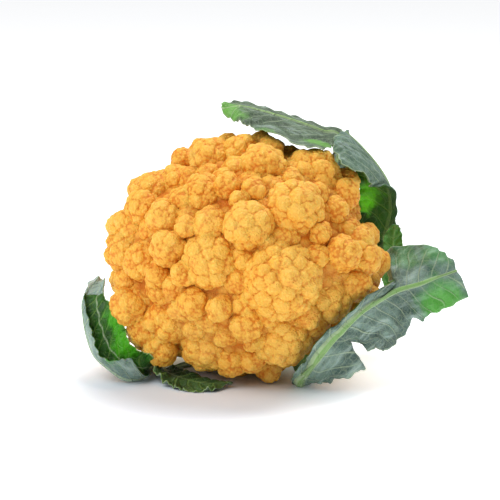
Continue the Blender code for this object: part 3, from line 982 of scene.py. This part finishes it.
@dataclass(frozen=True)
class LeafFinish:
    """A waxy leaf: green inside, bloomed blue-grey outside, with pale veins and brighter, sunlit spots."""

    outer: Colour = colour(112, 140, 132)
    outer_dark: Colour = colour(62, 92, 84)
    inner: Colour = colour(48, 98, 30)
    inner_dark: Colour = colour(24, 56, 18)
    vein: Colour = colour(186, 204, 168)
    inner_vein: Colour = colour(140, 180, 84)
    rib: Colour = colour(150, 184, 112)
    bright: Colour = colour(92, 176, 34)
    flap: Colour = colour(186, 204, 200)
    flap_dark: Colour = colour(128, 156, 150)
    spots: tuple[Spot, ...] = ()
    line: float = 9.0
    glow: float = 0.12

    def sunlit(self, s: Shader, cloud: Value) -> Any:
        """How far each place lies in one of the sunlit spots, whose edges are cloudy."""
        lit = 0.0
        for spot in self.spots:
            at = (from_view((spot.across, spot.up, spot.toward)) + CURD_CENTRE) * MM
            far = s.distance(s.place, tuple(at)) + (cloud - 0.5) * 0.03
            lit = s.most(lit, s.step(far, spot.radius * MM * 0.35, spot.radius * MM, spot.share, 0.0))
        return lit

    def material(self, name: str, vein_spacing: float) -> bpy.types.Material:
        """Builds the finish.

        Args:
            name: The material's name.
            vein_spacing: The distance between side veins along the midrib, in metres.

        Returns:
            The material. It reads places along and across the blade from the UV map, in metres.
        """
        s = Shader(name)
        _, across, _ = s.parts_of(s.uv)
        edge = s.attribute("edge")
        outside = s.step(s.attribute("outer"), 0.3, 0.7)
        cloud = s.noise(s.place, 60.0, 4.0, 0.6)
        streaks = s.noise(s.stretched(40.0, 190.0), 1.0, 4.0, 0.6)
        fibres = s.noise(s.stretched(30.0, 1600.0), 1.0, 3.0)
        # The veins: side veins that fade towards the edge, and two nets between them
        vein_gap = s.math("PINGPONG", s.attribute("sweep"), vein_spacing / 2)
        side_veins = s.step(vein_gap, 0.0001, 0.0009, 1.0, 0.0) * s.step(edge, 0.5, 1.0, 1.0, 0.15)
        side_veins = side_veins * s.step(s.noise(s.uv, 45.0, 2.0), 0.3, 0.6, 0.35, 1.0)
        net = s.step(s.cells(s.uv, 190.0, "DISTANCE_TO_EDGE"), 0.0, 0.09, 1.0, 0.0)
        fine_net = s.step(s.cells(s.uv, 620.0, "DISTANCE_TO_EDGE"), 0.0, 0.16, 1.0, 0.0)
        from_rib = abs(across) / s.attribute("rib_radius")
        rib = s.step(from_rib, 0.85, 1.25, 1.0, 0.0) * (outside * 0.7 + 0.3)
        flank = s.step(abs(from_rib - 0.95), 0.05, 0.28, 1.0, 0.0)
        line = s.step(abs(s.attribute("cross") - self.line), 0.0, 0.035, 1.0, 0.0)
        margin = s.step(edge + (cloud - 0.5) * 0.05, 0.965, 1.0)
        flap = s.step(s.attribute("turned") + (s.noise(s.uv, 260.0, 2.0) - 0.5) * 0.7, 0.46, 0.54)
        lit = self.sunlit(s, cloud)
        bloom = s.layered(
            self.outer_dark,
            (s.step(cloud + (streaks - 0.5) * 0.7, 0.3, 0.75), self.outer),
            # Pale streaks: partly the waxy bloom, partly a painted sheen.
            (s.step(streaks, 0.5, 0.72) * 0.45, self.flap),
            (fine_net * 0.12, self.vein),
            (net * 0.16, self.vein),
            (lit * 0.75, self.bright),
            (side_veins * 0.6, self.vein),
        )
        turned_over = s.layered(
            self.flap_dark,
            (s.step(streaks, 0.35, 0.7), self.flap),
            (fine_net * 0.3, self.vein),
        )
        green = s.layered(
            self.inner_dark,
            (s.step(cloud, 0.3, 0.7), self.inner),
            (net * 0.14, self.inner_vein),
            (lit * 0.9, self.bright),
            (side_veins * 0.45, self.inner_vein),
            (flap, turned_over),
        )
        base = s.layered(
            green,
            (outside, bloom),
            (line * 0.6, self.vein),
            (rib * s.step(edge, 0.5, 1.0, 1.0, 0.6), self.rib),
            (flank * outside * 0.6, self.vein),
            (rib * s.step(fibres, 0.45, 0.75) * 0.5, self.vein),
            (margin * 0.6, s.mix(outside, self.inner_vein, self.vein)),
        )
        raised = side_veins * 0.6 + net * 0.25 + fine_net * 0.1 + rib * fibres * 0.3
        relief = raised * (outside * 2.0 - 1.0) + cloud * 0.3 + streaks * 0.5 + flap * (1.0 - outside) * 0.6
        return s.close(
            base,
            outside * 0.12 + 0.42 + (cloud - 0.5) * 0.1,
            (0.12, (0.002, 0.004, 0.001)),
            Specular_IOR_Level=0.4,
            Emission_Color=s.mix(lit * (1.0 - side_veins * 0.4), BLACK, self.bright),
            Emission_Strength=self.glow,
            Normal=s.bump(relief, 0.001, 0.9),
        )


@dataclass(frozen=True)
class Notch:
    """A tear or gap in a leaf's edge: side -1 left or 1 right, place and width along, depth."""

    side: int
    place: float
    width: float
    depth: float


@dataclass(frozen=True)
class Fold:
    """A turned-over part of the margin: its side, its start and end along, its start across."""

    side: int
    start: float
    end: float
    share: float


@dataclass
class Leaf:
    """One leaf. Its stations hold the midrib, the left edge and the right edge, from root to tip."""

    name: str
    root_angle: float
    stations: tuple
    rib_radius: float
    root_half_width: float
    cup: float
    ripple: float
    ripples: float
    seed: int
    finish: LeafFinish = field(default_factory=LeafFinish)
    notches: tuple[Notch, ...] = ()
    folds: tuple[Fold, ...] = ()
    teeth: float = 1.0
    frill: float = 1.0
    vein_spacing: float = 11.0
    rows: int = 200
    half_columns: int = 30
    clearance: float = 2.6

    stem_reach = 20.5
    petiole_start = -86.0
    petiole_rise = 13.0
    half_thickness = 0.45
    rib_columns = 8
    teeth_count = 90
    tooth_depth = 0.12
    deepest_cut = 0.85
    vein_width = 0.7
    blister_height = 0.7

    def root_rows(self) -> list[tuple[np.ndarray, np.ndarray, np.ndarray]]:
        """The hidden stations: from the stem's side, under the curd's rim, towards the first open one."""
        angle = math.radians(self.root_angle)
        start = np.array((math.cos(angle), math.sin(angle)))
        goal = HEAD @ from_view(self.stations[0][0])
        rim = unit(goal[:2])
        low = min(-39.0, goal[2] - 10)
        far = min(77.0, np.linalg.norm(goal[:2]) - 5)
        bend = self.stem_reach + 5.0
        level = self.petiole_start + self.petiole_rise
        route = (
            (start * self.stem_reach, self.petiole_start, 1.0),
            (start * bend, level, 1.0),
            (unit(start * 2 + rim) * (bend + far) / 2, (level + low) / 2 - 2, 0.95),
            (unit(start * 0.6 + rim) * far, low, 0.9),
        )
        rows = []
        for place, height, share in route:
            outward = place[0] * SIDE + place[1] * RISE
            middle = outward + height * AXIS
            sideways = np.cross(AXIS, unit(outward)) * self.root_half_width * share
            rows.append((middle, middle - sideways, middle + sideways))
        return rows

    def edge_share(self, along: np.ndarray, side: int, blade: np.ndarray) -> np.ndarray:
        """How much of its planned width the blade has on one side: teeth, lobes and tears take the rest."""
        random = np.random.default_rng(self.seed * 10 + side)
        places = np.cumsum(random.uniform(0.008, 0.034, self.teeth_count))
        heights = random.uniform(0.2, 1.0, self.teeth_count)
        depth = self.tooth_depth * self.teeth * np.interp(along, places, heights)
        for notch in self.notches:
            if notch.side == side:
                fall = np.clip(1 - np.abs(along - notch.place) / notch.width, 0, 1)
                depth = depth + notch.depth * fall**0.8
        return 1 - np.clip(depth, 0, self.deepest_cut) * blade

    def surface(self) -> tuple[np.ndarray, np.ndarray, np.ndarray, np.ndarray]:
        """The leaf's middle surface.

        Returns:
            Its grid of places, each one's distance from the midrib, the rib's radius by row, and how far
            each row is from stalk to open blade.
        """
        rows = self.root_rows()
        hidden = len(rows)
        rows += [tuple(from_view(p) for p in row) for row in self.stations]
        middle, left, right = (smooth_curve([row[k] for row in rows], self.rows) for k in range(3))
        along = np.linspace(0, 1, self.rows)
        radius = self.rib_radius * (0.14 + 0.86 * (1 - along) ** 1.4)
        blade = np.clip((along * (len(rows) - 1) - hidden + 2) / 2, 0, 1)
        near = np.linspace(0, 1, self.rib_columns + 1)[1:]
        beyond = self.half_columns - self.rib_columns
        far = np.arange(1, beyond + 1) / beyond
        grid = np.empty((self.rows, 2 * self.half_columns + 1, 3))
        spans = np.zeros(grid.shape[:2])
        grid[:, self.half_columns] = middle
        for edge, side in ((left, -1), (right, 1)):
            reach = edge - middle
            half = np.maximum(np.linalg.norm(reach, axis=1), radius * 1.25 + 0.6)
            reach = unit(reach)
            half = np.maximum(half * self.edge_share(along, side, blade), radius * 1.1 + 0.5)
            on_rib = near[None] * radius[:, None]
            on_blade = radius[:, None] + (half - radius)[:, None] * far[None]
            places = np.concatenate((on_rib, on_blade), 1)
            side_points = middle[:, None] + reach[:, None] * places[..., None]
            if side < 0:
                grid[:, : self.half_columns] = side_points[:, ::-1]
                spans[:, : self.half_columns] = -places[:, ::-1]
            else:
                grid[:, self.half_columns + 1 :] = side_points
                spans[:, self.half_columns + 1 :] = places
        return self.waved(grid, spans, along, blade), spans, radius, blade

    def waved(self, grid: np.ndarray, spans: np.ndarray, along: np.ndarray, blade: np.ndarray) -> np.ndarray:
        """The grid with the blade's cup, its waves and its frilled edge."""
        ends = np.abs(spans) / np.abs(spans).max(axis=1, keepdims=True)
        turn = 2 * math.pi * along[:, None]
        side = np.sign(spans)
        shift = self.cup * 4 * ends * (1 - ends)
        shift = shift + self.ripple * ends**2 * np.sin(turn * self.ripples + 1.5 * side)
        frill = np.sin(turn * self.ripples * 3.7 + 2.1 * side + self.seed)
        frill = frill + 0.6 * np.sin(turn * self.ripples * 7.9 + 0.7 * side + 2 * self.seed)
        shift = shift + self.frill * 0.8 * ends**4 * frill
        return grid + surface_normals(grid) * (shift * blade[:, None])[..., None]

    def build(self) -> None:
        """Makes the leaf as one closed skin, blade and midrib, and enlists it."""
        grid, spans, radius, blade = self.surface()
        rows, columns = spans.shape
        grid = pushed_clear(grid.reshape(-1, 3), self.clearance + 0.6).reshape(grid.shape)
        normals = surface_normals(grid)
        steps = np.linalg.norm(np.diff(grid[:, self.half_columns], axis=0), axis=1)
        along = np.concatenate(([0], np.cumsum(steps)))[:, None] * np.ones((1, columns))
        off = np.abs(spans)
        ends = off / off.max(axis=1, keepdims=True)
        sweep = along - 0.75 * off - 0.010 * off**2
        wander = np.sin(0.13 * along + 0.21 * spans + self.seed)
        wander = wander + 0.6 * np.sin(0.33 * spans - 0.21 * along)
        sweep = sweep + self.vein_spacing * 0.26 * wander * ends
        gap = np.abs((sweep / self.vein_spacing + 0.5) % 1 - 0.5) * self.vein_spacing
        open_part = np.clip(off / radius[:, None] - 1, 0, 1)
        vein = np.exp(-((gap / self.vein_width) ** 2)) * (1 - 0.75 * ends) * blade[:, None] * open_part
        blister = np.cos(2 * math.pi * gap / self.vein_spacing) * np.sin(ends * math.pi)
        blister = blister * -self.blister_height
        grid = grid + normals * (blister * open_part * blade[:, None])[..., None]
        rib = np.sqrt(np.maximum(radius[:, None] ** 2 - spans**2, 0)) * 0.9
        half = self.half_thickness * (1 - 0.45 * ends**6)
        inner = grid - normals * (half - 0.25 * vein - 0.12 * rib)[..., None]
        outer = grid + normals * (half + rib + 0.45 * vein)[..., None]
        points = np.concatenate((inner.reshape(-1, 3), outer.reshape(-1, 3)))
        zeros = np.zeros(rows * columns)
        turned = np.zeros(spans.shape)
        run = np.linspace(0, 1, rows)[:, None]
        for fold in self.folds:
            within = np.clip(np.minimum(run - fold.start, fold.end - run) / 0.02, 0, 1)
            beyond = np.clip((ends - fold.share) / 0.3 + 0.5, 0, 1) * (np.sign(spans) == fold.side)
            turned = np.maximum(turned, within * beyond)
        piece = mesh_object(
            f"{self.name}_blade",
            points,
            closed_skin(rows, columns),
            self.finish.material(self.name, self.vein_spacing * MM),
            outer=np.concatenate((zeros, zeros + 1)),
            edge=np.tile(ends.ravel(), 2),
            cross=np.tile((ends * np.sign(spans)).ravel(), 2),
            sweep=np.tile(sweep.ravel(), 2) * MM,
            turned=np.tile(turned.ravel(), 2),
            rib_radius=np.tile(np.repeat(radius * MM, columns), 2),
        )
        lay_uv(piece, np.tile(np.stack((along.ravel(), spans.ravel()), 1), (2, 1)) * MM)
        enlist(piece, "leaf", self.name)


def smooth_curve(points: Any, steps: int) -> np.ndarray:
    """A smooth curve through the points, read at evenly spread places."""
    points = np.asarray(points, float)
    padded = np.vstack((2 * points[0] - points[1], points, 2 * points[-1] - points[-2]))
    places = np.linspace(0, len(points) - 1, steps)
    spans = np.minimum(places.astype(int), len(points) - 2)
    t = (places - spans)[:, None]
    a, b, c, d = (padded[spans + k] for k in range(4))
    return 0.5 * (2 * b + (c - a) * t + (2 * a - 5 * b + 4 * c - d) * t**2 + (3 * b - a - 3 * c + d) * t**3)


def surface_normals(grid: np.ndarray) -> np.ndarray:
    """Unit normals of a leaf's grid, on the side that faces away from the curd at its root."""
    return unit(np.cross(np.gradient(grid, axis=1), np.gradient(grid, axis=0)))


def pushed_clear(points: np.ndarray, clearance: float) -> np.ndarray:
    """The points, with those inside the curd's envelope or under the floor moved out to the clearance."""
    value = envelope_value(points, -clearance)
    points = points * np.maximum(1.0, 1.0 / np.maximum(value, 0.2))[:, None]
    points[:, 2] = np.maximum(points[:, 2], clearance * 0.5 - CURD_CENTRE[2])
    return points


def joined(*corners: tuple[np.ndarray, np.ndarray, np.ndarray]) -> np.ndarray:
    """Rows of triangles, from sets of their three corners' point numbers."""
    return np.concatenate([np.stack(triangle, 1) for triangle in corners])


def closed_skin(rows: int, columns: int) -> np.ndarray:
    """The triangles that join an inner grid of points and then an outer one into one closed skin."""
    corner = (np.arange(rows - 1)[:, None] * columns + np.arange(columns - 1)[None]).ravel()
    a, b, c, d = corner, corner + 1, corner + columns, corner + columns + 1
    back = rows * columns
    inner = joined((a, d, b), (a, c, d))
    outer = joined((a, b, d), (a, d, c)) + back
    border = np.concatenate(
        (
            np.arange(columns),
            np.arange(1, rows) * columns + columns - 1,
            (rows - 1) * columns + np.arange(columns - 2, -1, -1),
            np.arange(rows - 2, 0, -1) * columns,
        )
    )
    after = np.roll(border, -1)
    rim = joined((border, after, back + after), (border, back + after, back + border))
    return np.concatenate((inner, outer, rim))


LEAVES = (
    Leaf(
        "leaf_right", -60.0,
        (
            ((31.2, -68.6, 26), (26, -65.9, 30), (38.1, -71.5, 24)),
            ((34.2, -62.4, 41), (30, -58, 49.5), (43.5, -70.4, 30)),
            ((39.4, -55.2, 50), (34.9, -52.2, 53), (51.9, -68.6, 32)),
            ((47, -45.6, 54), (41.9, -41.5, 58), (68.1, -65.6, 34)),
            ((54.7, -37.8, 54.5), (51.3, -34.4, 57.5), (65.1, -49.1, 38)),
            ((62.6, -30.7, 52.5), (60.2, -26.5, 56), (74.3, -53.3, 34)),
            ((72.5, -24.9, 44), (70, -17.5, 42), (82.6, -53.6, 28)),
            ((85.4, -19.1, 28), (76, -8.5, 2), (93.4, -43.8, 20)),
            ((100.2, -15.4, 14), (82.5, 4.6, -14), (103.3, -35.5, 12)),
            ((111.5, -11.5, 4), (106.3, 8.1, -2), (116.7, -31.2, 4)),
            ((122.7, -8.2, -3), (118.9, -2.9, -6), (129.1, -25, -3)),
        ),
        rib_radius=5.6, root_half_width=9, cup=2.5, ripple=1.8, ripples=5.0, seed=3, clearance=1.6,
        finish=LeafFinish(
            outer=colour(118, 146, 134), outer_dark=colour(48, 76, 68), bright=colour(78, 164, 40),
            rib=colour(128, 170, 96),
            spots=(Spot(112, -28, 4, 25), Spot(112, 2, -2, 15, 0.5), Spot(92, -2, 0, 13, 0.4)),
        ),
        teeth=1.0, frill=1.4,
        notches=(Notch(1, 0.545, 0.024, 0.45), Notch(-1, 0.80, 0.025, 0.2), Notch(1, 0.80, 0.03, 0.25)),
    ),
    Leaf(
        "leaf_top", 84.0,
        (
            ((50, 44, -62), (38, 44, -54), (62, 46, -69)),
            ((56, 71, -46), (49.5, 61.5, -2), (60, 75, -58)),
            ((46, 74.5, -34), (41.3, 56.5, 28), (48.5, 77.5, -50)),
            ((29.6, 80.0, -26), (26.7, 58.6, 26), (30.8, 83.2, -44)),
            ((10, 85.4, -18), (9.7, 66.6, 24), (10.1, 88.2, -34)),
            ((-3, 87.9, -12), (-1.1, 74.8, 12), (-3.6, 90.8, -24)),
            ((-13.5, 85.9, -8), (-12.2, 82.7, -5), (-14.1, 88.6, -13)),
        ),
        rib_radius=4.2, root_half_width=8, cup=1.5, ripple=1.4, ripples=5.0, seed=4,
        finish=LeafFinish(
            outer=colour(86, 112, 84), outer_dark=colour(44, 68, 44), bright=colour(104, 168, 58),
            spots=(Spot(-12, 84, -5, 15), Spot(42, 60, 10, 14), Spot(10, 70, 20, 8, 0.5)),
        ),
        teeth=1.3, frill=1.2,
    ),
    Leaf(
        "leaf_upper_right", 30.0,
        (
            ((84.5, 12.5, -46), (86.7, 12.5, -36), (68, 13, -55)),
            ((87.5, 26.9, -38), (88.2, 26.1, -28), (65, 26, -50)),
            ((86.5, 37.5, -32), (86.3, 37.2, -20), (65, 38.4, -42)),
            ((83.1, 46.2, -26), (74.4, 41.1, -4), (64, 49.5, -36)),
            ((76.1, 56, -20), (58.5, 47, 32), (65, 58.2, -32)),
            ((67, 65.8, -15), (47.6, 57.2, 26), (62, 66.5, -26)),
            ((58.6, 73.2, -11), (51, 67.8, -3), (58.2, 74, -15)),
        ),
        rib_radius=3.4, root_half_width=8, cup=2.0, ripple=1.2, ripples=4.0, seed=5,
        finish=LeafFinish(
            outer=colour(110, 138, 124), outer_dark=colour(62, 96, 74), inner=colour(52, 116, 28),
            inner_dark=colour(24, 66, 14), bright=colour(104, 200, 30), glow=0.3,
            spots=(Spot(71, 33, -34, 14),),
        ),
        teeth=1.5, frill=2.6,
    ),
    Leaf(
        "leaf_small", -14.0,
        (
            ((88, -14, -40), (93, -14, -37), (82, -14, -42)),
            ((88, 0, -31), (93.5, 1, -27), (82, 1, -32)),
            ((88, 11, -25), (93, 12.5, -22), (82, 12, -26)),
            ((89, 19, -22), (91, 18.5, -20), (86.5, 19, -23)),
        ),
        rib_radius=1.8, root_half_width=4.5, cup=1.0, ripple=0.5, ripples=3.0, seed=6, vein_spacing=7.0,
        finish=LeafFinish(inner=colour(98, 160, 72), inner_dark=colour(62, 120, 48)),
        rows=120, half_columns=18,
    ),
    Leaf(
        "leaf_left", -156.0,
        (
            ((-55.5, -65.9, 4), (-51.3, -61.7, 6), (-55.8, -65.9, 8)),
            ((-61, -69.2, 13), (-51.6, -55.2, 24), (-58.5, -64.1, 22)),
            ((-69.1, -69, 17), (-57, -53.5, 24), (-64.2, -56.9, 30)),
            ((-78.3, -62.8, 16), (-62.6, -49, 23), (-74.5, -56.4, 28)),
            ((-86, -56.2, 12), (-66.6, -42.6, 22), (-81.6, -53.2, 24)),
            ((-90.4, -46.6, 8), (-69.6, -34.3, 21), (-84.5, -45.6, 17)),
            ((-92.9, -35.2, 6), (-72.8, -26, 18), (-88.6, -34.8, 11)),
            ((-93.1, -24.3, 3), (-75.6, -19, 8), (-91.7, -22.5, 5)),
            ((-84.9, -11.1, -3), (-79.8, -12.8, -5), (-88.2, -14.5, 0)),
        ),
        rib_radius=2.8, root_half_width=7, cup=2.0, ripple=1.6, ripples=5.0, seed=7, vein_spacing=9.0,
        finish=LeafFinish(
            outer=colour(150, 172, 164), outer_dark=colour(104, 132, 122), inner=colour(52, 112, 26),
            inner_dark=colour(24, 66, 14), bright=colour(70, 160, 16), rib=colour(158, 180, 160),
            line=-0.4,
            spots=(Spot(-73, -33, 19, 11), Spot(-70, -51, 22, 11)),
        ),
        folds=(Fold(1, 0.92, 1.1, -0.5), Fold(-1, 0.92, 1.1, -0.5)),
        teeth=0.8, frill=0.7,
    ),
    Leaf(
        "leaf_bottom", -108.0,
        (
            ((-46.3, -64.5, -6), (-50.9, -64.6, -4), (-39.9, -64.5, -8)),
            ((-45, -67, 6), (-51, -59.5, 10), (-38, -63.5, 4)),
            ((-39, -68.5, 15), (-52.5, -64, 21), (-32, -64.5, 8)),
            ((-30, -70.6, 22), (-43, -74, 32), (-23, -66.5, 13)),
            ((-20, -71.6, 27), (-32, -75.4, 38), (-14.5, -69, 22)),
            ((-9.5, -70.5, 29), (-18, -75, 38), (-6.5, -69, 27)),
        ),
        rib_radius=2.2, root_half_width=6.5, cup=0.8, ripple=1.2, ripples=5.0, seed=8,
        vein_spacing=8.0, clearance=0.2,
        finish=LeafFinish(
            outer=colour(80, 108, 76), outer_dark=colour(48, 72, 46), inner=colour(72, 106, 58),
            inner_dark=colour(36, 60, 28),
        ),
        teeth=1.9, frill=1.8,
    ),
)


@dataclass
class Studio:
    """The white floor with its painted shadow, the soft lights and the camera. Sizes in metres."""

    distance: float = 1.1
    half_field: float = 0.145
    aim_right: float = 0.0029
    aim_up: float = 0.0041
    lamp_aim: tuple[float, float, float] = (0.0, 0.0, 0.06)
    floor_half: float = 12.0
    surroundings: float = 0.35
    # The floor's painted shadow: its shaded and lit colours, its middle, and where its fade starts and ends.
    shaded: Colour = (0.79, 0.84, 0.91)
    lit: Colour = (0.88, 0.9, 0.93)
    shade_at: tuple[float, float, float] = (-0.042, -0.045, 0.0)
    shade_reach: tuple[float, float] = (0.045, 0.11)

    def floor(self) -> None:
        """Lays the floor, with a painted shadow round shade_at and a glow beyond it."""
        s = Shader("studio_white")
        # Painted shadow: darker and unlit round shade_at, glowing white beyond it.
        far = s.step(s.distance(s.place, self.shade_at), *self.shade_reach)
        base = s.mix(far, self.shaded, self.lit)
        glow = s.mix(far, BLACK, WHITE)
        paint = s.close(base, 0.85, Specular_IOR_Level=0.1, Emission_Color=glow, Emission_Strength=0.6)
        mesh = bpy.data.meshes.new("floor")
        h = self.floor_half
        mesh.from_pydata([(-h, -h, 0), (h, -h, 0), (h, h, 0), (-h, h, 0)], [], [(0, 1, 2, 3)])
        mesh.materials.append(paint)
        linked("floor", mesh)

    def lamp(
        self, name: str, azimuth: float, elevation: float, distance: float, size: float, power: float
    ) -> None:
        """Hangs one square soft light that faces the object.

        Args:
            name: The light's name.
            azimuth: Where it hangs, in degrees to the right of the viewer.
            elevation: Its height, in degrees above the horizon.
            distance: How far it hangs, in metres.
            size: Its side, in metres.
            power: Its power, in watts.
        """
        light = bpy.data.lights.new(name, "AREA")
        light.shape = "SQUARE"
        light.size = size
        light.energy = power
        made = linked(name, light)
        turn, rise = math.radians(azimuth), math.radians(elevation)
        away = Vector((math.sin(turn) * math.cos(rise), -math.cos(turn) * math.cos(rise), math.sin(rise)))
        made.location = Vector(self.lamp_aim) + away * distance
        made.rotation_mode = "QUATERNION"
        made.rotation_quaternion = away.to_track_quat("Z", "Y")

    def lights(self) -> None:
        """Sets the white surroundings and hangs the lights."""
        bpy.context.scene.view_settings.view_transform = "Standard"
        world = bpy.data.worlds.new("white_room")
        world.use_nodes = True
        background = world.node_tree.nodes["Background"]
        background.inputs["Color"].default_value = (*WHITE, 1.0)
        background.inputs["Strength"].default_value = self.surroundings
        bpy.context.scene.world = world
        self.lamp("key", azimuth=-58.0, elevation=47.0, distance=1.5, size=1.4, power=16.0)
        self.lamp("back", azimuth=145.0, elevation=66.0, distance=1.3, size=0.7, power=11.0)

    def camera(self) -> None:
        """Sets the camera at the viewer's place."""
        data = bpy.data.cameras.new("camera")
        data.sensor_width = 36.0
        data.lens = data.sensor_width / 2 / (self.half_field / self.distance)
        made = linked("camera", data)
        aim = Vector(CURD_CENTRE * MM) + Vector((self.aim_right, 0, 0)) + Vector(VIEW_UP) * self.aim_up
        made.location = aim + Vector(VIEW_NEAR) * self.distance
        made.rotation_mode = "QUATERNION"
        made.rotation_quaternion = Vector(VIEW_NEAR).to_track_quat("Z", "Y")
        bpy.context.scene.camera = made

    def build(self) -> None:
        """Sets the whole studio."""
        self.floor()
        self.lights()
        self.camera()


def main() -> None:
    """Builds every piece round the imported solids, in order."""
    logging.basicConfig(level=logging.INFO, format="%(name)s: %(message)s")
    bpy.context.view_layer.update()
    Studio().build()
    Curd().build()
    Stem().build()
    for leaf in LEAVES:
        leaf.build()


if __name__ == "__main__":
    main()
